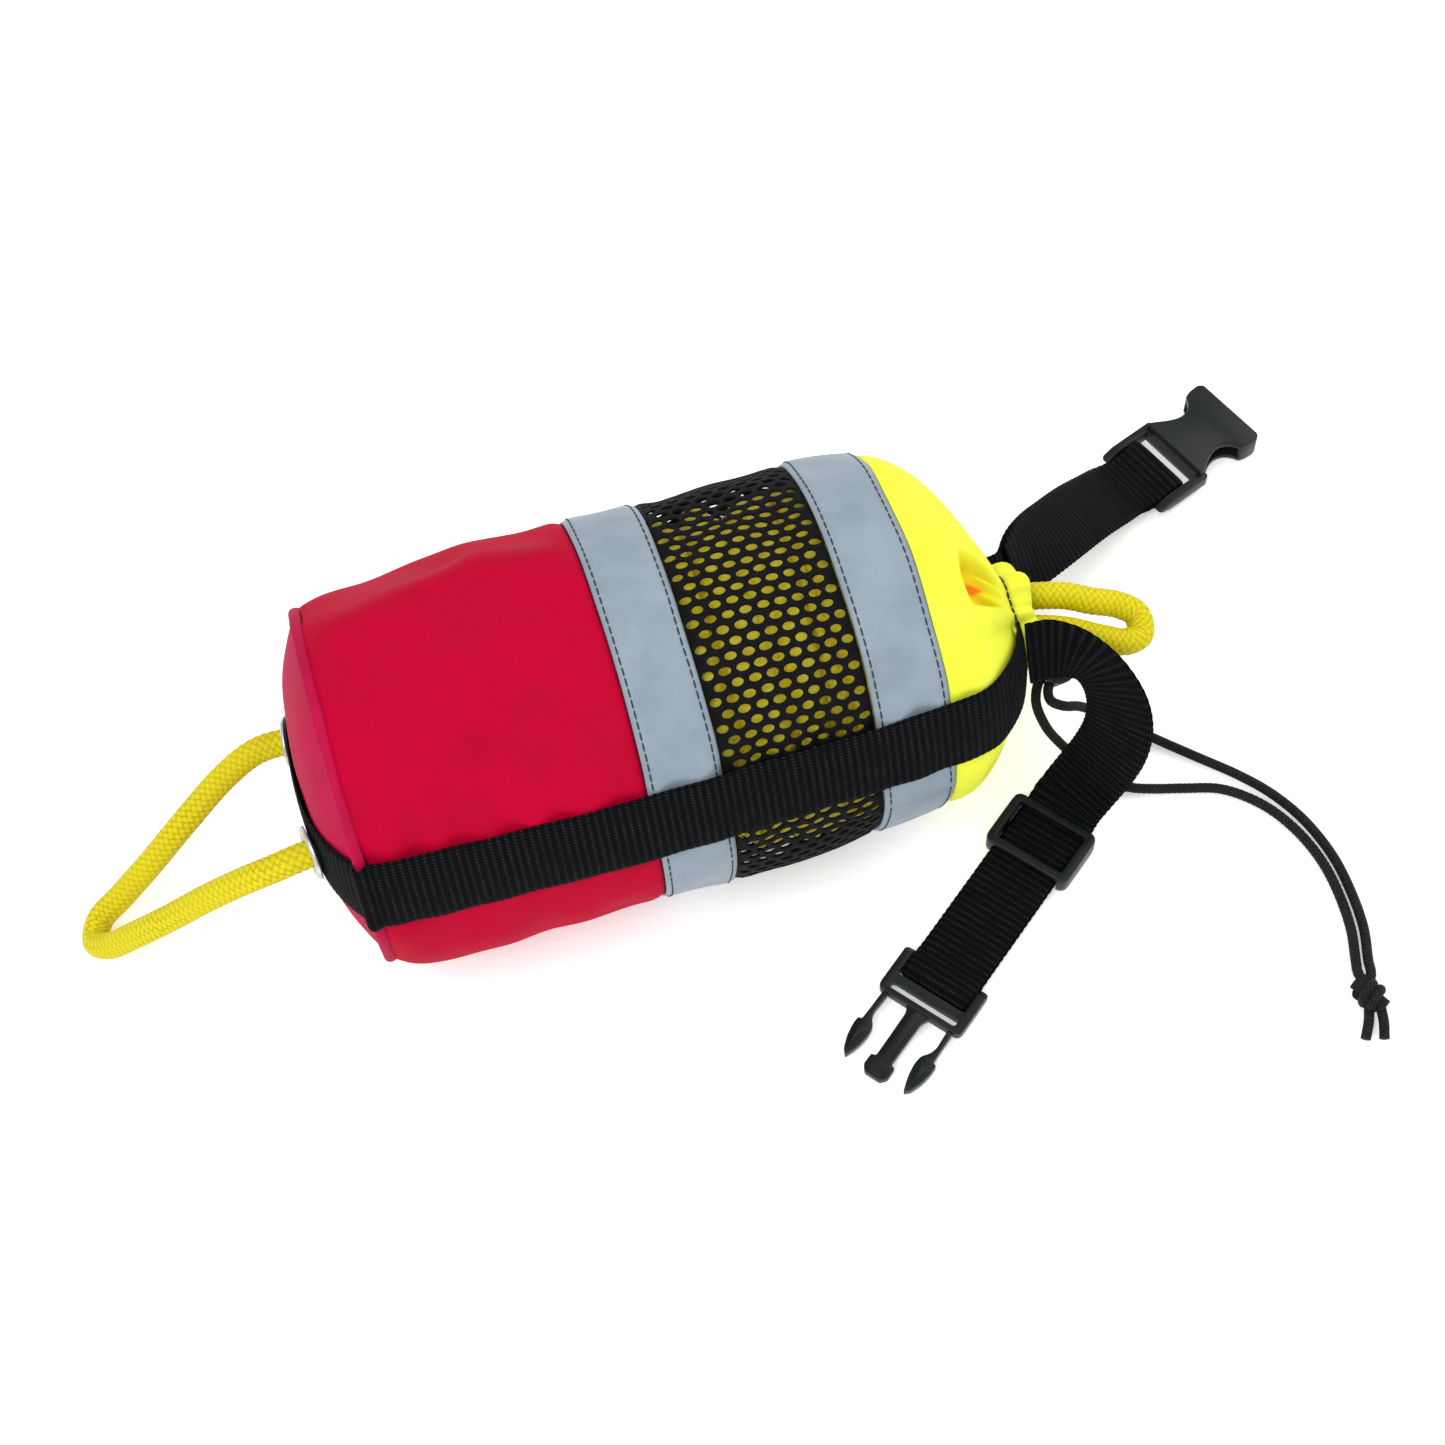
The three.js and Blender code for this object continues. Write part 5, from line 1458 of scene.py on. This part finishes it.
def male_buckle():
    back, front, v, t = MALE["back"], MALE["front"], MALE["v"], MALE["t"]
    inner = v - MALE["rail"]
    room = MALE_BAR_U + LOOP_R + WEB_T / 2 + 0.4
    plate = prism(rounded([(back, -v, 1.6), (front, -v, 2.6), (front, v, 2.6), (back, v, 1.6)]), -t, t, 0.5)
    half = [(front - 1, 4.9, 0), (front + 0.3, 4.4, 1), (front + 2.4, 3.2, 1.5), (37.6, 3.0, 0.8),
            (38, 4.7, 0.5), (42.4, 4.8, 0.8), (44.5, 3.0, 0.6)]
    prong = prism(rounded([(u, -w, r) for u, w, r in half] + half[::-1]), -1.5, 1.5, 0.3)
    ridge = prism(rounded([(17, -1.7, 0), (36.5, -1.7, 0.5), (36.5, 1.7, 0.5), (17, 1.7, 0)]), -1.95, 1.95,
                  0.2)
    head = prism(rounded([(38.8, -3.6, 0.5), (42, -3.6, 0.7), (43.6, -2.3, 0.5), (43.6, 2.3, 0.5),
                          (42, 3.6, 0.7), (38.8, 3.6, 0.5)]), -2.0, 2.0, 0.2)
    cuts = [prism(box_outline(back - 2, room, -inner, inner, 1.0), -t - 1, t + 1),
            prism(box_outline(MALE["slot0"], MALE["slot1"], -inner, inner, 1.3), -t - 1, t + 1),
            *tapers(back, t, 2.4)]
    bar = rod(MALE_BAR_U, 0, 1.7, -inner - 1, inner + 1)
    for tool in cuts:
        apply_boolean(plate, tool, "DIFFERENCE")
    at = strap_line(MALE_S, MALE_Z)
    fitting("prong_frame", plate, [prong, ridge, head, bar], [], at, STRAP_DIR, STRAP_WIDE, "male_buckle",
            "male_buckle_frame")
    half = [(front + 0.35, 12, 0.3), (24.5, 12.4, 1.5), (27, 11.6, 1), (29.6, 9.6, 1), (33, 9.2, 1.5),
            (38, 9.9, 1.5), (43.3, 11.6, 0.5), (41.5, 13.4, 0.7), (37, 15, 1.5), (32.5, 15.7, 1),
            (29.6, 15.6, 0.3), (29.2, 14.2, 0.5), (24.5, 14, 1.5), (front + 0.35, 13.9, 0.3)]
    pad = [(32.6, 11.4, 0.8), (38.5, 11.7, 1), (40.4, 12.3, 0.6), (37, 13.6, 1), (32.6, 14.2, 0.8)]
    for side, label in ((-1, "left"), (1, "right")):
        outline = rounded([(u, side * w, r) for u, w, r in half][::side])
        arm = prism(outline, -1.7, 1.7)
        step = prism(rounded([(u, side * w, r) for u, w, r in pad][::side]), -2.15, 2.15)
        fitting(f"prong_arm_{label}", arm, [step], [], at, STRAP_DIR, STRAP_WIDE, f"male_arm_{label}",
                f"male_buckle_arm_{label}")


def female_buckle():
    back, slot, neck, notch, mouth, v, t, cv, ct = -3.9, 17.4, 20.5, 38, 47, 16.5, 5, 14.2, 2.6
    tail = prism(rounded([(back, -v, 1.6), (neck, -v, 1.5), (neck, v, 1.5), (back, v, 1.6)]), -2.6, 2.6, 0.4)
    for tool in [prism(box_outline(back - 2, slot, -v + 3.2, v - 3.2, 1.0), -t, t), *tapers(back, 2.6, 6.2)]:
        apply_boolean(tail, tool, "DIFFERENCE")
    side = [(slot, 15.2, 1), (19.5, 14.6, 1), (22.1, 13, 1.5), (25.1, 11.2, 2), (28, 9.9, 2), (31, 9.4, 2),
            (34, 10.2, 2), (36.6, 12.4, 2), (notch, 15.4, 0.8), (40.5, 16.2, 1), (mouth - 2, v, 1),
            (mouth, 15, 0.8)]
    shell = prism(rounded(side + [(u, -w, r) for u, w, r in side][::-1]), -t, t, 0.9)
    cuts = [prism(box_outline(neck, mouth + 2, -cv, cv, 0), -ct, ct),
            prism(box_outline(neck, notch, -20, 20, 0), -ct, ct)]
    for tool in cuts:
        apply_boolean(shell, tool, "DIFFERENCE")
    bar = rod(FEMALE_BAR_U, 0, 1.7, -v + 2.2, v - 2.2)
    fitting("socket_frame", tail, [shell, bar], [], FEMALE_AT, FEMALE_DIR, FEMALE_WIDE, "female_buckle",
            "female_buckle_body")


slider()
male_buckle()
female_buckle()
